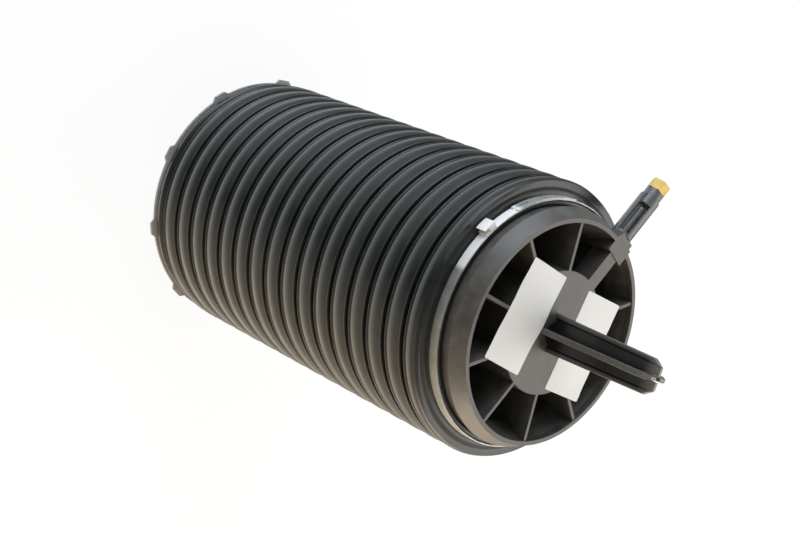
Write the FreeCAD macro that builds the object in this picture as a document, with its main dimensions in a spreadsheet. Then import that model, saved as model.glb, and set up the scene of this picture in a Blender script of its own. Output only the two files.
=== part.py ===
# Air suspension spring of a passenger car: a ribbed plastic cap with a crossed locating
# post and a side air port above, a rolling rubber sleeve on a piston inside a guide tube,
# and a folded dust gaiter from the cap down to the base plate.
# Millimetres, +Z along the spring's axis, base plate's seat at Z 0, air port towards -X.
import FreeCAD, Part
import math
import os
import Sketcher

doc = FreeCAD.newDocument("air_suspension_spring")
sheet = doc.addObject("Spreadsheet::Sheet", "Sizes")


class Size:
    """A number together with the formula that the document follows."""

    def __init__(self, number, formula):
        self.number = float(number)
        self.formula = formula

    def __add__(self, other):
        return combine(self, "+", other)

    def __radd__(self, other):
        return combine(other, "+", self)

    def __sub__(self, other):
        return combine(self, "-", other)

    def __rsub__(self, other):
        return combine(other, "-", self)

    def __mul__(self, other):
        return combine(self, "*", other)

    def __rmul__(self, other):
        return combine(other, "*", self)

    def __truediv__(self, other):
        return combine(self, "/", other)

    def __rtruediv__(self, other):
        return combine(other, "/", self)

    def __neg__(self):
        return combine(0, "-", self)


def number(value):
    return value.number if isinstance(value, Size) else float(value)


def formula(value):
    return value.formula if isinstance(value, Size) else repr(value)


def combine(left, sign, right):
    a = number(left)
    b = number(right)
    results = {"+": a + b, "-": a - b, "*": a * b, "/": a / b if b else 0.0}
    return Size(results[sign], "(" + formula(left) + sign + formula(right) + ")")


def tangent(angle):
    """Tangent of an angle in degrees."""
    value = math.tan(math.radians(number(angle)))
    return Size(value, "tan(" + formula(angle) + ")")


def size(name, value):
    """Put one driving size in the next free row of the sheet."""
    row = str(len(sheet.getUsedCells()) + 1)
    sheet.set("A" + row, str(value))
    sheet.setAlias("A" + row, name)
    return Size(value, "Sizes." + name)


# Clearances that the fits share, and how far cutting outlines reach past what they cut
seat_gap = size("seat_gap", 0.1)
soft_gap = size("soft_gap", 0.3)
overrun = size("overrun", 1.0)

# Cap: the ribbed cup with its rim, hub and skirt
rim_height = size("rim_height", 266.0)
crest_radius = size("crest_radius", 77.3)
rim_inset = size("rim_inset", 15.3)
rim_wall = size("rim_wall", 2.4)
rim_land = size("rim_land", 4.0)
band_height = size("band_height", 9.0)
band_flare = size("band_flare", 4.0)
band_step = size("band_step", 1.4)
skirt_wall = size("skirt_wall", 2.1)
skirt_length = size("skirt_length", 19.0)
hub_radius = size("hub_radius", 33.9)
hub_draft = size("hub_draft", 1.1)
hub_wall = size("hub_wall", 3.0)
hub_plate = size("hub_plate", 3.0)
hub_drop = size("hub_drop", 0.6)
pocket_depth = size("pocket_depth", 38.0)
pocket_corner = size("pocket_corner", 2.5)
cap_floor = size("cap_floor", 4.0)
collar_wall = size("collar_wall", 2.2)
collar_drop = size("collar_drop", 2.0)
clamp_slot_depth = size("clamp_slot_depth", 16.0)
rib_thickness = size("rib_thickness", 1.9)
spoke_count = size("spoke_count", 10)

# Air duct across the cap and the block that carries the port
duct_width = size("duct_width", 8.0)
duct_depth = size("duct_depth", 12.5)
duct_bore_radius = size("duct_bore_radius", 1.5)
shelf_width = size("shelf_width", 3.0)
shelf_drop = size("shelf_drop", 3.0)
block_length = size("block_length", 15.0)
block_width = size("block_width", 10.0)
block_overhang = size("block_overhang", 1.5)
boss_width = size("boss_width", 12.0)
boss_drop = size("boss_drop", 3.1)
boss_rise = size("boss_rise", 5.4)
boss_overhang = size("boss_overhang", 4.4)

# Port housing, pressed into the block
port_drop = size("port_drop", 5.8)
port_radius = size("port_radius", 6.0)
collar_radius = size("collar_radius", 5.2)
port_spigot_radius = size("port_spigot_radius", 2.6)
port_spigot_length = size("port_spigot_length", 10.0)
port_window_length = size("port_window_length", 21.2)
port_collar_length = size("port_collar_length", 10.5)
port_wall = size("port_wall", 1.15)
port_flange = size("port_flange", 1.5)
window_turn = size("window_turn", 47.0)
window_left = size("window_left", 3.75)
window_right = size("window_right", 2.75)
window_floor = size("window_floor", 2.3)
window_rib_radius = size("window_rib_radius", 1.85)
window_rib_rise = size("window_rib_rise", 2.6)
latch_width = size("latch_width", 1.3)
latch_length = size("latch_length", 5.6)
latch_gap = size("latch_gap", 2.4)
latch_floor = size("latch_floor", 3.7)
rib_bead_pitch = size("rib_bead_pitch", 1.25)
rib_bead_width = size("rib_bead_width", 0.6)
rib_bead_height = size("rib_bead_height", 0.12)
rib_bead_count = size("rib_bead_count", 13)

# Union nut for the air line, with what it holds
line_bore_radius = size("line_bore_radius", 2.05)
line_bore_length = size("line_bore_length", 7.4)
hex_flats = size("hex_flats", 10.0)
hex_height = size("hex_height", 6.1)
hex_turn = size("hex_turn", 10.5)
hex_chamfer = size("hex_chamfer", 0.35)
shank_length = size("shank_length", 6.2)
shank_wall = size("shank_wall", 0.75)
grip_length = size("grip_length", 2.3)
line_gap = size("line_gap", 0.1)
line_ring_section = size("line_ring_section", 0.5)
valve_throat_radius = size("valve_throat_radius", 1.2)
valve_chamber_radius = size("valve_chamber_radius", 2.6)
valve_seat_depth = size("valve_seat_depth", 3.0)
poppet_radius = size("poppet_radius", 2.4)
poppet_thickness = size("poppet_thickness", 1.0)
poppet_seal_thickness = size("poppet_seal_thickness", 0.35)
poppet_seal_gap = size("poppet_seal_gap", 0.05)
poppet_stem_radius = size("poppet_stem_radius", 0.6)
poppet_stem_length = size("poppet_stem_length", 3.0)
valve_spring_wire = size("valve_spring_wire", 0.2)
valve_spring_radius = size("valve_spring_radius", 1.1)
valve_spring_turns = size("valve_spring_turns", 5.0)
valve_spring_well = size("valve_spring_well", 5.1)
valve_well_radius = size("valve_well_radius", 1.45)
valve_duct_radius = size("valve_duct_radius", 0.9)

# Locating post
fin_reach = size("fin_reach", 10.5)
fin_thickness = size("fin_thickness", 3.2)
fin_web = size("fin_web", 1.7)
fin_bead = size("fin_bead", 2.2)
fin_draft = size("fin_draft", 1.2)
post_height = size("post_height", 71.5)
post_taper_height = size("post_taper_height", 7.1)
post_tip_radius = size("post_tip_radius", 6.9)
post_tip_round = size("post_tip_round", 1.6)
fin_round = size("fin_round", 0.7)
post_core_radius = size("post_core_radius", 1.8)
post_core_depth = size("post_core_depth", 3.0)
post_turn = size("post_turn", 28.0)
spigot_radius = size("spigot_radius", 6.0)
spigot_length = size("spigot_length", 5.0)

# Plain paper labels on the hub
label_length = size("label_length", 56.5)
label_width = size("label_width", 29.0)
label_thickness = size("label_thickness", 0.2)
near_label_shift = size("near_label_shift", 25.3)
near_label_turn = size("near_label_turn", 16.9)
far_label_shift = size("far_label_shift", 26.9)
far_label_turn = size("far_label_turn", 21.1)

# Guide tube, rolling sleeve and the rings that crimp it
guide_wall = size("guide_wall", 1.3)
guide_length = size("guide_length", 165.7)
sleeve_thickness = size("sleeve_thickness", 2.2)
sleeve_gap = size("sleeve_gap", 0.2)
crimp_wall = size("crimp_wall", 1.2)
crimp_height = size("crimp_height", 12.0)
crimp_drop = size("crimp_drop", 26.0)
sleeve_top_drop = size("sleeve_top_drop", 20.0)
lobe_drop = size("lobe_drop", 41.0)

# Bump stop under the hub
bump_cup_radius = size("bump_cup_radius", 25.5)
bump_cup_wall = size("bump_cup_wall", 1.2)
bump_cup_height = size("bump_cup_height", 10.0)
bump_length = size("bump_length", 74.0)
bump_bore_radius = size("bump_bore_radius", 7.0)
bump_waist = size("bump_waist", 4.0)

# Piston with its crimped neck and striker
piston_radius = size("piston_radius", 47.0)
piston_wall = size("piston_wall", 3.5)
neck_length = size("neck_length", 21.0)
shoulder_radius = size("shoulder_radius", 6.0)
neck_height = size("neck_height", 148.0)
neck_lip = size("neck_lip", 1.0)
piston_top = size("piston_top", 5.0)
lower_crimp_wall = size("lower_crimp_wall", 1.5)
lower_crimp_height = size("lower_crimp_height", 8.0)
striker_radius = size("striker_radius", 28.0)
striker_thickness = size("striker_thickness", 3.0)
striker_peg_radius = size("striker_peg_radius", 5.0)
striker_peg_length = size("striker_peg_length", 3.0)

# Base plate with its lugs, spigot ring and locating bush
base_thickness = size("base_thickness", 6.0)
base_inset = size("base_inset", 1.4)
base_flange = size("base_flange", 1.5)
foot_seat_inset = size("foot_seat_inset", 7.0)
lug_stand = size("lug_stand", 0.9)
lug_width = size("lug_width", 13.0)
lug_tip_width = size("lug_tip_width", 7.0)
lug_count = size("lug_count", 10)
foot_ring_height = size("foot_ring_height", 6.0)
foot_ring_wall = size("foot_ring_wall", 1.6)
spigot_ring_height = size("spigot_ring_height", 9.0)
spigot_ring_wall = size("spigot_ring_wall", 4.2)
base_ring_section = size("base_ring_section", 1.0)
base_boss_radius = size("base_boss_radius", 14.0)
base_boss_height = size("base_boss_height", 19.0)
relief_depth = size("relief_depth", 2.5)
relief_inner = size("relief_inner", 19.0)
relief_outer = size("relief_outer", 62.0)
relief_rib = size("relief_rib", 5.0)
relief_count = size("relief_count", 10)
bush_bore_radius = size("bush_bore_radius", 8.0)
bush_wall = size("bush_wall", 2.0)
bush_length = size("bush_length", 14.0)

# Gaiter: equal folds with narrow grooves between them
gaiter_clearance = size("gaiter_clearance", 2.8)
fold_count = size("fold_count", 16)
top_fold = size("top_fold", 10.45)
crest_front = size("crest_front", 3.4)
crest_back = size("crest_back", 5.2)
lip_drop = size("lip_drop", 0.65)
lip_width = size("lip_width", 0.45)
foot_bead_drop = size("foot_bead_drop", 1.0)
foot_bead_top = size("foot_bead_top", 8.2)
foot_neck_drop = size("foot_neck_drop", 3.2)
groove_mouth = size("groove_mouth", 2.6)
groove_root = size("groove_root", 1.4)
gaiter_wall = size("gaiter_wall", 1.6)
first_groove = size("first_groove", 11.3)
cuff_wall = size("cuff_wall", 2.5)
cuff_height = size("cuff_height", 12.2)
shoulder_reach = size("shoulder_reach", 1.8)
crest_round = size("crest_round", 3.5)

# Stainless clamp round the gaiter's cuff
clamp_thickness = size("clamp_thickness", 0.7)
clamp_width = size("clamp_width", 5.5)
clamp_drop = size("clamp_drop", 14.5)
clamp_lap_angle = size("clamp_lap_angle", 36.0)
clamp_lap_turn = size("clamp_lap_turn", 246.0)
clamp_ear_place = size("clamp_ear_place", 19.0)
clamp_ear_angle = size("clamp_ear_angle", 6.0)
clamp_ear_height = size("clamp_ear_height", 3.8)
clamp_ear_overhang = size("clamp_ear_overhang", 1.0)
clamp_ear_hollow = size("clamp_ear_hollow", 3.6)
clamp_slot_start = size("clamp_slot_start", 1.5)
clamp_slot_angle = size("clamp_slot_angle", 9.5)
clamp_slot_width = size("clamp_slot_width", 1.2)
clamp_window_start = size("clamp_window_start", 27.0)
clamp_window_angle = size("clamp_window_angle", 2.2)
clamp_window_pitch = size("clamp_window_pitch", 3.6)
clamp_window_width = size("clamp_window_width", 2.4)

# Places that several pieces share
rim_radius = crest_radius - rim_inset
band_radius = rim_radius + band_flare
skirt_radius = band_radius - band_step
block_reach = rim_radius + block_overhang
boss_reach = rim_radius + boss_overhang
base_radius = crest_radius - base_inset
foot_seat_radius = crest_radius - foot_seat_inset
piston_shoulder_height = neck_height - neck_length
lobe_height = neck_height - lobe_drop
hub_top = rim_height - hub_drop
hub_under = hub_top - hub_plate
band_bottom = rim_height - band_height
skirt_bottom = band_bottom - skirt_length
skirt_inner = skirt_radius - skirt_wall
floor_top = rim_height - pocket_depth
floor_under = floor_top - cap_floor
clamp_slot_top = rim_height - clamp_slot_depth
guide_outer = skirt_inner - seat_gap
guide_inner = guide_outer - guide_wall
upper_crimp_outer = guide_inner - seat_gap
upper_crimp_inner = upper_crimp_outer - crimp_wall
sleeve_end_outer = upper_crimp_inner - seat_gap
sleeve_end_inner = sleeve_end_outer - sleeve_thickness
collar_outer = sleeve_end_inner - seat_gap
collar_inner = collar_outer - collar_wall
fold_root = guide_outer + gaiter_clearance + gaiter_wall
cuff_low = band_bottom - soft_gap - cuff_height
fold_pitch = (cuff_low - top_fold - first_groove) / (fold_count - 1)
port_height = rim_height - port_drop
spigot_hole_radius = spigot_radius + seat_gap
PORT_TURN = 180.0


def drive(item, path, value):
    """Let a property or a constraint follow its formula."""
    if isinstance(value, Size):
        item.setExpression(path, value.formula)


def new_body(name, turn=0.0, shift=(0, 0, 0)):
    """Start a sub-part, turned about the spring's axis and shifted from the origin."""
    body = doc.addObject("PartDesign::Body", name)
    body.Label = name
    place = FreeCAD.Vector(*[number(part) for part in shift])
    turned = FreeCAD.Rotation(FreeCAD.Vector(0, 0, 1), number(turn))
    body.Placement = FreeCAD.Placement(place, turned)
    drive(body, "Placement.Rotation.Angle", turn)
    for letter, part in zip("xyz", shift):
        drive(body, "Placement.Base." + letter, part)
    return body


def origin_item(body, role):
    for feature in body.Origin.OriginFeatures:
        if feature.Role == role:
            return feature
    raise RuntimeError("no " + role + " in " + body.Name)


def new_sketch(body, name, plane, rise=0.0, off=0.0, swing=0.0, about=(0, 1, 0)):
    """A sketch on an origin plane: raised along its own Y, off the plane, swung about an axis."""
    item = body.newObject("Sketcher::SketchObject", name)
    item.AttachmentSupport = [(origin_item(body, plane), "")]
    item.MapMode = "FlatFace"
    place = FreeCAD.Vector(0, number(rise), number(off))
    swung = FreeCAD.Rotation(FreeCAD.Vector(*about), number(swing))
    item.AttachmentOffset = FreeCAD.Placement(place, swung)
    drive(item, "AttachmentOffset.Rotation.Angle", swing)
    drive(item, "AttachmentOffset.Base.y", rise)
    drive(item, "AttachmentOffset.Base.z", off)
    return item


def hold(item, geometry, spot, axis, value):
    """Fix one coordinate of a point: on the axis if it is 0, else by a driven distance."""
    if number(value) == 0.0:
        line = -2 if axis == "x" else -1
        item.addConstraint(Sketcher.Constraint("PointOnObject", geometry, spot, line))
        return
    kind = "DistanceX" if axis == "x" else "DistanceY"
    found = Sketcher.Constraint(kind, -1, 1, geometry, spot, number(value))
    index = item.addConstraint(found)
    drive(item, "Constraints[" + str(index) + "]", value)


def arc(centre_x, centre_y, turn):
    """An arc to the next corner: its centre, and +1 for anticlockwise or -1."""
    return ("arc", centre_x, centre_y, turn)


def outline(item, *steps):
    """Draw a closed outline through corners, with an arc where one stands between two."""
    corners = [step for step in steps if step[0] != "arc"]
    arcs = {}
    count = 0
    for step in steps:
        if step[0] == "arc":
            arcs[count - 1] = step
        else:
            count += 1
    first = item.GeometryCount
    ends = []
    for index, corner in enumerate(corners):
        after = corners[(index + 1) % count]
        start = FreeCAD.Vector(number(corner[0]), number(corner[1]), 0)
        finish = FreeCAD.Vector(number(after[0]), number(after[1]), 0)
        if index not in arcs:
            item.addGeometry(Part.LineSegment(start, finish), False)
            ends.append((1, 2))
            continue
        bend = arcs[index]
        centre = FreeCAD.Vector(number(bend[1]), number(bend[2]), 0)
        out = start - centre
        back = finish - centre
        circle = Part.Circle(centre, FreeCAD.Vector(0, 0, 1), out.Length)
        out_angle = math.atan2(out.y, out.x)
        back_angle = math.atan2(back.y, back.x)
        if bend[3] > 0:
            item.addGeometry(Part.ArcOfCircle(circle, out_angle, back_angle), False)
            ends.append((1, 2))
        else:
            item.addGeometry(Part.ArcOfCircle(circle, back_angle, out_angle), False)
            ends.append((2, 1))
    for index in range(count):
        after = (index + 1) % count
        joined = Sketcher.Constraint("Coincident", first + index, ends[index][1],
                                     first + after, ends[after][0])
        item.addConstraint(joined)
    for index, corner in enumerate(corners):
        axes = "xy"
        before = (index - 1) % count
        if before in arcs:
            sideways = abs(number(corner[0]) - number(arcs[before][1]))
            upright = abs(number(corner[1]) - number(arcs[before][2]))
            axes = "y" if sideways > upright else "x"
        for axis in axes:
            hold(item, first + index, ends[index][0], axis, corner["xy".index(axis)])
    for index, bend in arcs.items():
        hold(item, first + index, 3, "x", bend[1])
        hold(item, first + index, 3, "y", bend[2])


def rectangle(item, left, low, right, high):
    outline(item, (left, low), (right, low), (right, high), (left, high))


def circle(item, radius, centre_x=0.0, centre_y=0.0):
    middle = FreeCAD.Vector(number(centre_x), number(centre_y), 0)
    index = item.GeometryCount
    item.addGeometry(Part.Circle(middle, FreeCAD.Vector(0, 0, 1), number(radius)), False)
    held = item.addConstraint(Sketcher.Constraint("Radius", index, number(radius)))
    drive(item, "Constraints[" + str(held) + "]", radius)
    if number(centre_x) == 0.0 and number(centre_y) == 0.0:
        item.addConstraint(Sketcher.Constraint("Coincident", index, 3, -1, 1))
        return
    hold(item, index, 3, "x", centre_x)
    hold(item, index, 3, "y", centre_y)


def feature(body, kind, name, profile):
    item = body.newObject("PartDesign::" + kind, name)
    item.Profile = profile
    return item


def spin(body, kind, name, profile, axis="V_Axis", angle=360.0):
    """A Revolution or a Groove about one of the sketch's own axes."""
    item = feature(body, kind, name, profile)
    item.ReferenceAxis = (profile, [axis])
    item.Angle = number(angle)
    drive(item, "Angle", angle)
    return item


def extrude(body, kind, name, profile, length, symmetric=False, reverse=False):
    """A Pad or a Pocket of one length, to one side or to both."""
    item = feature(body, kind, name, profile)
    item.Length = number(length)
    drive(item, "Length", length)
    item.SideType = "Symmetric" if symmetric else "One side"
    item.Reversed = reverse
    return item


def repeat_round(body, name, original, count):
    item = body.newObject("PartDesign::PolarPattern", name)
    item.Originals = [original]
    item.Axis = (origin_item(body, "Z_Axis"), [""])
    item.Angle = 360.0
    item.Occurrences = int(number(count))
    drive(item, "Occurrences", count)
    body.Tip = item
    return item


def repeat_along(body, name, original, role, pitch, count):
    item = body.newObject("PartDesign::LinearPattern", name)
    item.Originals = [original]
    item.Direction = (origin_item(body, role), [""])
    length = pitch * (count - 1)
    item.Length = number(length)
    item.Occurrences = int(number(count))
    drive(item, "Length", length)
    drive(item, "Occurrences", count)
    body.Tip = item
    return item


def ring(name, inner, low, outer, high):
    """A plain ring about the spring's axis."""
    body = new_body(name)
    section = new_sketch(body, name + "_section", "XZ_Plane")
    rectangle(section, inner, low, outer, high)
    spin(body, "Revolution", name + "_ring", section)
    return body


def port_body(name):
    return new_body(name, turn=PORT_TURN)


def port_sketch(body, name):
    """A sketch in the port's upright plane, its X along the port's axis."""
    return new_sketch(body, name, "XZ_Plane", rise=port_height)


def top_cap():
    """Ribbed cup with a raised rim, a hollow hub and a slot for the sleeve and guide."""
    body = new_body("top_cap", turn=PORT_TURN)
    section = new_sketch(body, "cap_section", "XZ_Plane")
    pocket_edge = collar_inner - pocket_corner
    slot_edge = collar_outer - collar_wall
    outline(section,
            (spigot_hole_radius, hub_under),
            (hub_radius - hub_wall, hub_under),
            (hub_radius - hub_wall, floor_under),
            (collar_inner, floor_under),
            (collar_inner, floor_under - collar_drop),
            (collar_outer, floor_under - collar_drop),
            (collar_outer, clamp_slot_top),
            (skirt_inner, clamp_slot_top),
            (skirt_inner, skirt_bottom),
            (skirt_radius, skirt_bottom),
            (skirt_radius, band_bottom),
            (band_radius, band_bottom),
            (rim_radius, rim_height),
            (rim_radius - rim_wall, rim_height),
            (rim_radius - rim_wall, rim_height - rim_land),
            (slot_edge, clamp_slot_top),
            (pocket_edge, floor_top + pocket_corner),
            arc(pocket_edge - pocket_corner, floor_top + pocket_corner, -1),
            (pocket_edge - pocket_corner, floor_top),
            (hub_radius + hub_draft, floor_top),
            (hub_radius, hub_top),
            (spigot_hole_radius, hub_top))
    spin(body, "Revolution", "cap_cup", section)
    spoke = new_sketch(body, "spoke_outline", "XZ_Plane")
    outline(spoke,
            (hub_radius - hub_wall / 2, floor_top - cap_floor / 2),
            (pocket_edge, floor_top - cap_floor / 2),
            (pocket_edge + rim_wall / 2, floor_top + pocket_corner),
            (slot_edge + rim_wall / 2, clamp_slot_top),
            (rim_radius - rim_wall / 2, rim_height - rim_land),
            (rim_radius - rim_wall / 2, hub_top),
            (hub_radius - hub_wall / 2, hub_top))
    blade = extrude(body, "Pad", "spoke", spoke, rib_thickness, symmetric=True)
    repeat_round(body, "spokes", blade, spoke_count)
    duct = new_sketch(body, "duct_outline", "XZ_Plane")
    duct_low = hub_top - duct_depth
    rectangle(duct, hub_radius - hub_wall / 2, duct_low, rim_radius - rim_wall / 2, hub_top)
    extrude(body, "Pad", "air_duct", duct, duct_width, symmetric=True)
    shelf = new_sketch(body, "shelf_outline", "XZ_Plane", off=duct_width / 2)
    rectangle(shelf, hub_radius - hub_wall / 2, duct_low,
              rim_radius - rim_wall, hub_top - shelf_drop)
    extrude(body, "Pad", "duct_shelf", shelf, shelf_width)
    block = new_sketch(body, "block_outline", "XZ_Plane")
    rectangle(block, block_reach - block_width, clamp_slot_top + seat_gap,
              block_reach, rim_height)
    extrude(body, "Pad", "port_block", block, block_length, symmetric=True)
    boss = new_sketch(body, "boss_outline", "XZ_Plane")
    rectangle(boss, block_reach - rim_wall, port_height - boss_drop,
              boss_reach, port_height + boss_rise)
    extrude(body, "Pad", "port_boss", boss, boss_width, symmetric=True)
    bore = port_sketch(body, "duct_bore_section")
    socket_floor = boss_reach - port_spigot_length - seat_gap
    socket_radius = port_spigot_radius + seat_gap
    outline(bore,
            (hub_radius - hub_wall * 2, 0), (boss_reach + overrun, 0),
            (boss_reach + overrun, socket_radius), (socket_floor, socket_radius),
            (socket_floor, duct_bore_radius),
            (hub_radius - hub_wall * 2, duct_bore_radius))
    spin(body, "Groove", "duct_bore", bore, "H_Axis")
    return body


def post_cross(body, name, height, reach):
    """The cross at one height: thin webs, each with a thicker bead along its edge."""
    cross = new_sketch(body, name, "XY_Plane", off=height)
    web = fin_web / 2
    half = fin_thickness / 2
    flat = half - fin_round
    side = reach - fin_round
    bead = reach - fin_bead
    flare = bead - (half - web)
    outline(cross,
            (web, -web), (flare, -web), (bead, -half), (side, -half),
            arc(side, -flat, 1), (reach, -flat), (reach, flat), arc(side, flat, 1),
            (side, half), (bead, half), (flare, web), (web, web),
            (web, flare), (half, bead), (half, side),
            arc(flat, side, 1), (flat, reach), (-flat, reach), arc(-flat, side, 1),
            (-half, side), (-half, bead), (-web, flare), (-web, web),
            (-flare, web), (-bead, half), (-side, half),
            arc(-side, flat, 1), (-reach, flat), (-reach, -flat), arc(-side, -flat, 1),
            (-side, -half), (-bead, -half), (-flare, -web), (-web, -web),
            (-web, -flare), (-half, -bead), (-half, -side),
            arc(-flat, -side, 1), (-flat, -reach), (flat, -reach), arc(flat, -side, 1),
            (half, -side), (half, -bead), (web, -flare))
    return cross


def locating_post():
    """Crossed post with drafted fins that centres the spring in the car."""
    body = new_body("locating_post", turn=post_turn)
    top = hub_top + post_height
    foot = post_cross(body, "post_foot_cross", hub_top, fin_reach)
    head = post_cross(body, "post_head_cross", top, fin_reach - fin_draft)
    fins = feature(body, "AdditiveLoft", "post_fins", foot)
    fins.Sections = [head]
    fins.Ruled = True
    spigot = new_sketch(body, "post_spigot_circle", "XY_Plane", off=hub_top)
    circle(spigot, spigot_radius)
    extrude(body, "Pad", "post_spigot", spigot, spigot_length, reverse=True)
    taper = new_sketch(body, "post_taper_section", "XZ_Plane")
    outline(taper,
            (fin_reach, top - post_taper_height),
            (fin_reach + overrun, top - post_taper_height), (fin_reach + overrun, top + overrun),
            (post_tip_radius - post_tip_round, top + overrun),
            (post_tip_radius - post_tip_round, top),
            arc(post_tip_radius - post_tip_round, top - post_tip_round, -1),
            (post_tip_radius, top - post_tip_round))
    spin(body, "Groove", "post_taper", taper)
    core = new_sketch(body, "post_core_section", "XZ_Plane")
    rectangle(core, 0, top - post_core_depth, post_core_radius, top + overrun)
    spin(body, "Groove", "post_core_recess", core)
    return body


def label(name, turn, shift, side):
    """Thin plain label, flat on the hub's face and the spokes' tops."""
    body = new_body(name, turn=turn)
    sheet_outline = new_sketch(body, name + "_outline", "XY_Plane", off=hub_top)
    middle = shift * side
    rectangle(sheet_outline, -label_length / 2, middle - label_width / 2,
              label_length / 2, middle + label_width / 2)
    extrude(body, "Pad", name + "_paper", sheet_outline, label_thickness)
    return body


def port_housing():
    """Plug-in port: a spigot, a barrel with a rib in its window, and a round collar."""
    body = port_body("port_housing")
    start = boss_reach + seat_gap
    tube_start = boss_reach - port_spigot_length
    collar_start = start + port_window_length
    collar_end = collar_start + port_collar_length
    bore_radius = collar_radius - port_wall
    bore_floor = collar_start + port_wall
    well_floor = bore_floor - valve_spring_well
    shell = port_sketch(body, "port_shell_section")
    outline(shell,
            (tube_start, valve_duct_radius), (well_floor, valve_duct_radius),
            (well_floor, valve_well_radius), (bore_floor, valve_well_radius),
            (bore_floor, bore_radius), (collar_end, bore_radius), (collar_end, collar_radius),
            (collar_start + latch_length, collar_radius),
            (collar_start + latch_length, port_radius), (start, port_radius),
            (start, port_spigot_radius), (tube_start, port_spigot_radius))
    spin(body, "Revolution", "port_shell", shell, "H_Axis")
    notch = port_sketch(body, "cuff_clearance_outline")
    cuff_outer = skirt_radius + soft_gap + cuff_wall
    rectangle(notch, start - overrun, -port_radius - overrun,
              cuff_outer + soft_gap, band_bottom - port_height)
    extrude(body, "Pocket", "cuff_clearance", notch, port_radius * 3, symmetric=True)
    window_start = start + port_flange
    window = window_sketch(body, "window_outline", window_start)
    rectangle(window, -window_right, window_floor, window_left, port_radius + overrun)
    extrude(body, "Pocket", "port_window", window, port_window_length - port_flange,
            reverse=True)
    latch = window_sketch(body, "latch_outline", collar_start - port_wall)
    rectangle(latch, window_left - latch_width, latch_floor, window_left, port_radius + overrun)
    extrude(body, "Pocket", "latch_slot", latch, latch_length + port_wall, reverse=True)
    rib = window_sketch(body, "window_rib_outline", start + port_flange / 2)
    rib_outline(rib, window_rib_radius)
    rib_length = port_window_length - port_flange / 2 - latch_gap
    extrude(body, "Pad", "window_rib", rib, rib_length)
    bead = window_sketch(body, "rib_bead_outline", window_start + rib_bead_width)
    rib_outline(bead, window_rib_radius + rib_bead_height)
    bead_pad = extrude(body, "Pad", "rib_bead", bead, rib_bead_width)
    repeat_along(body, "rib_beads", bead_pad, "X_Axis", rib_bead_pitch, rib_bead_count)
    return body


def window_sketch(body, name, place):
    """A sketch across the port's axis, turned so that its Y points out of the window."""
    return new_sketch(body, name, "YZ_Plane", rise=port_height, off=place,
                      swing=-window_turn, about=(0, 0, 1))


def rib_outline(item, radius):
    """A rib with a round back, rooted between the window's floor and the spring's well."""
    root = (window_floor + valve_well_radius) / 2
    outline(item, (-radius, root), (radius, root),
            (radius, window_rib_rise), arc(0, window_rib_rise, 1),
            (-radius, window_rib_rise))


def port_end():
    """Where the housing's collar ends along the port's axis."""
    return boss_reach + seat_gap + port_window_length + port_collar_length


def union_nut():
    """Hexagonal brass union with a bored shank for the air line."""
    body = port_body("union_nut")
    start = port_end() + seat_gap
    end = start + hex_height
    hexagon = new_sketch(body, "hex_outline", "YZ_Plane", rise=port_height, off=start,
                         swing=hex_turn, about=(0, 0, 1))
    flat = hex_flats / 2
    corner = hex_flats * tangent(30)
    side = corner / 2
    outline(hexagon, (corner, 0), (side, flat), (-side, flat),
            (-corner, 0), (-side, -flat), (side, -flat))
    extrude(body, "Pad", "hex_head", hexagon, hex_height)
    shank = port_sketch(body, "shank_section")
    shank_radius = collar_radius - port_wall - seat_gap / 2
    seat = end - line_bore_length
    outline(shank,
            (start - shank_length, shank_radius - shank_wall),
            (seat, shank_radius - shank_wall), (seat, line_bore_radius / 2),
            (start + overrun, line_bore_radius / 2), (start + overrun, shank_radius),
            (start - shank_length, shank_radius))
    spin(body, "Revolution", "shank", shank, "H_Axis")
    hollow = port_sketch(body, "line_bore_section")
    rectangle(hollow, start - shank_length - overrun, 0, end + overrun, line_bore_radius)
    spin(body, "Groove", "line_bore", hollow, "H_Axis")
    chamfer = port_sketch(body, "hex_chamfer_section")
    outline(chamfer, (end - hex_chamfer, corner), (end + overrun, corner),
            (end + overrun, flat - hex_chamfer), (end, flat - hex_chamfer))
    spin(body, "Groove", "hex_chamfer", chamfer, "H_Axis")
    return body


def tube_grip_ring():
    """Split-tooth ring that grips the air line, with a sloped mouth."""
    body = port_body("tube_grip_ring")
    seat = port_end() + seat_gap + hex_height - line_bore_length
    outer = collar_radius - port_wall - seat_gap / 2 - shank_wall - seat_gap / 2
    inner = line_bore_radius + line_gap
    section = port_sketch(body, "grip_section")
    outline(section, (seat - grip_length, inner), (seat - seat_gap / 2, inner + line_gap * 3),
            (seat - seat_gap / 2, outer), (seat - grip_length, outer))
    spin(body, "Revolution", "grip_ring", section, "H_Axis")
    return body


def tube_seal_ring():
    """Rubber ring that seals the air line inside the shank."""
    body = port_body("tube_seal_ring")
    seat = port_end() + seat_gap + hex_height - line_bore_length
    middle = seat - grip_length - line_ring_section - seat_gap
    section = port_sketch(body, "seal_section")
    circle(section, line_ring_section, middle, line_bore_radius + line_gap + line_ring_section)
    spin(body, "Revolution", "seal_ring", section, "H_Axis")
    return body


def check_valve_body():
    """Seat of the residual pressure valve behind the union."""
    body = port_body("check_valve_body")
    floor = boss_reach + seat_gap + port_window_length + port_wall
    outer = collar_radius - port_wall - seat_gap / 2
    shank_end = port_end() + seat_gap - shank_length
    seat = floor + valve_seat_depth
    nose = port_end() + hex_height - line_bore_length - grip_length - line_ring_section * 2
    spigot = outer - shank_wall - seat_gap / 2
    section = port_sketch(body, "valve_body_section")
    outline(section,
            (floor + seat_gap / 2, valve_chamber_radius), (seat, valve_chamber_radius),
            (seat, valve_throat_radius), (nose - seat_gap, valve_throat_radius),
            (nose - seat_gap, spigot), (shank_end - seat_gap / 2, spigot),
            (shank_end - seat_gap / 2, outer), (floor + seat_gap / 2, outer))
    spin(body, "Revolution", "valve_seat_body", section, "H_Axis")
    return body


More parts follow.
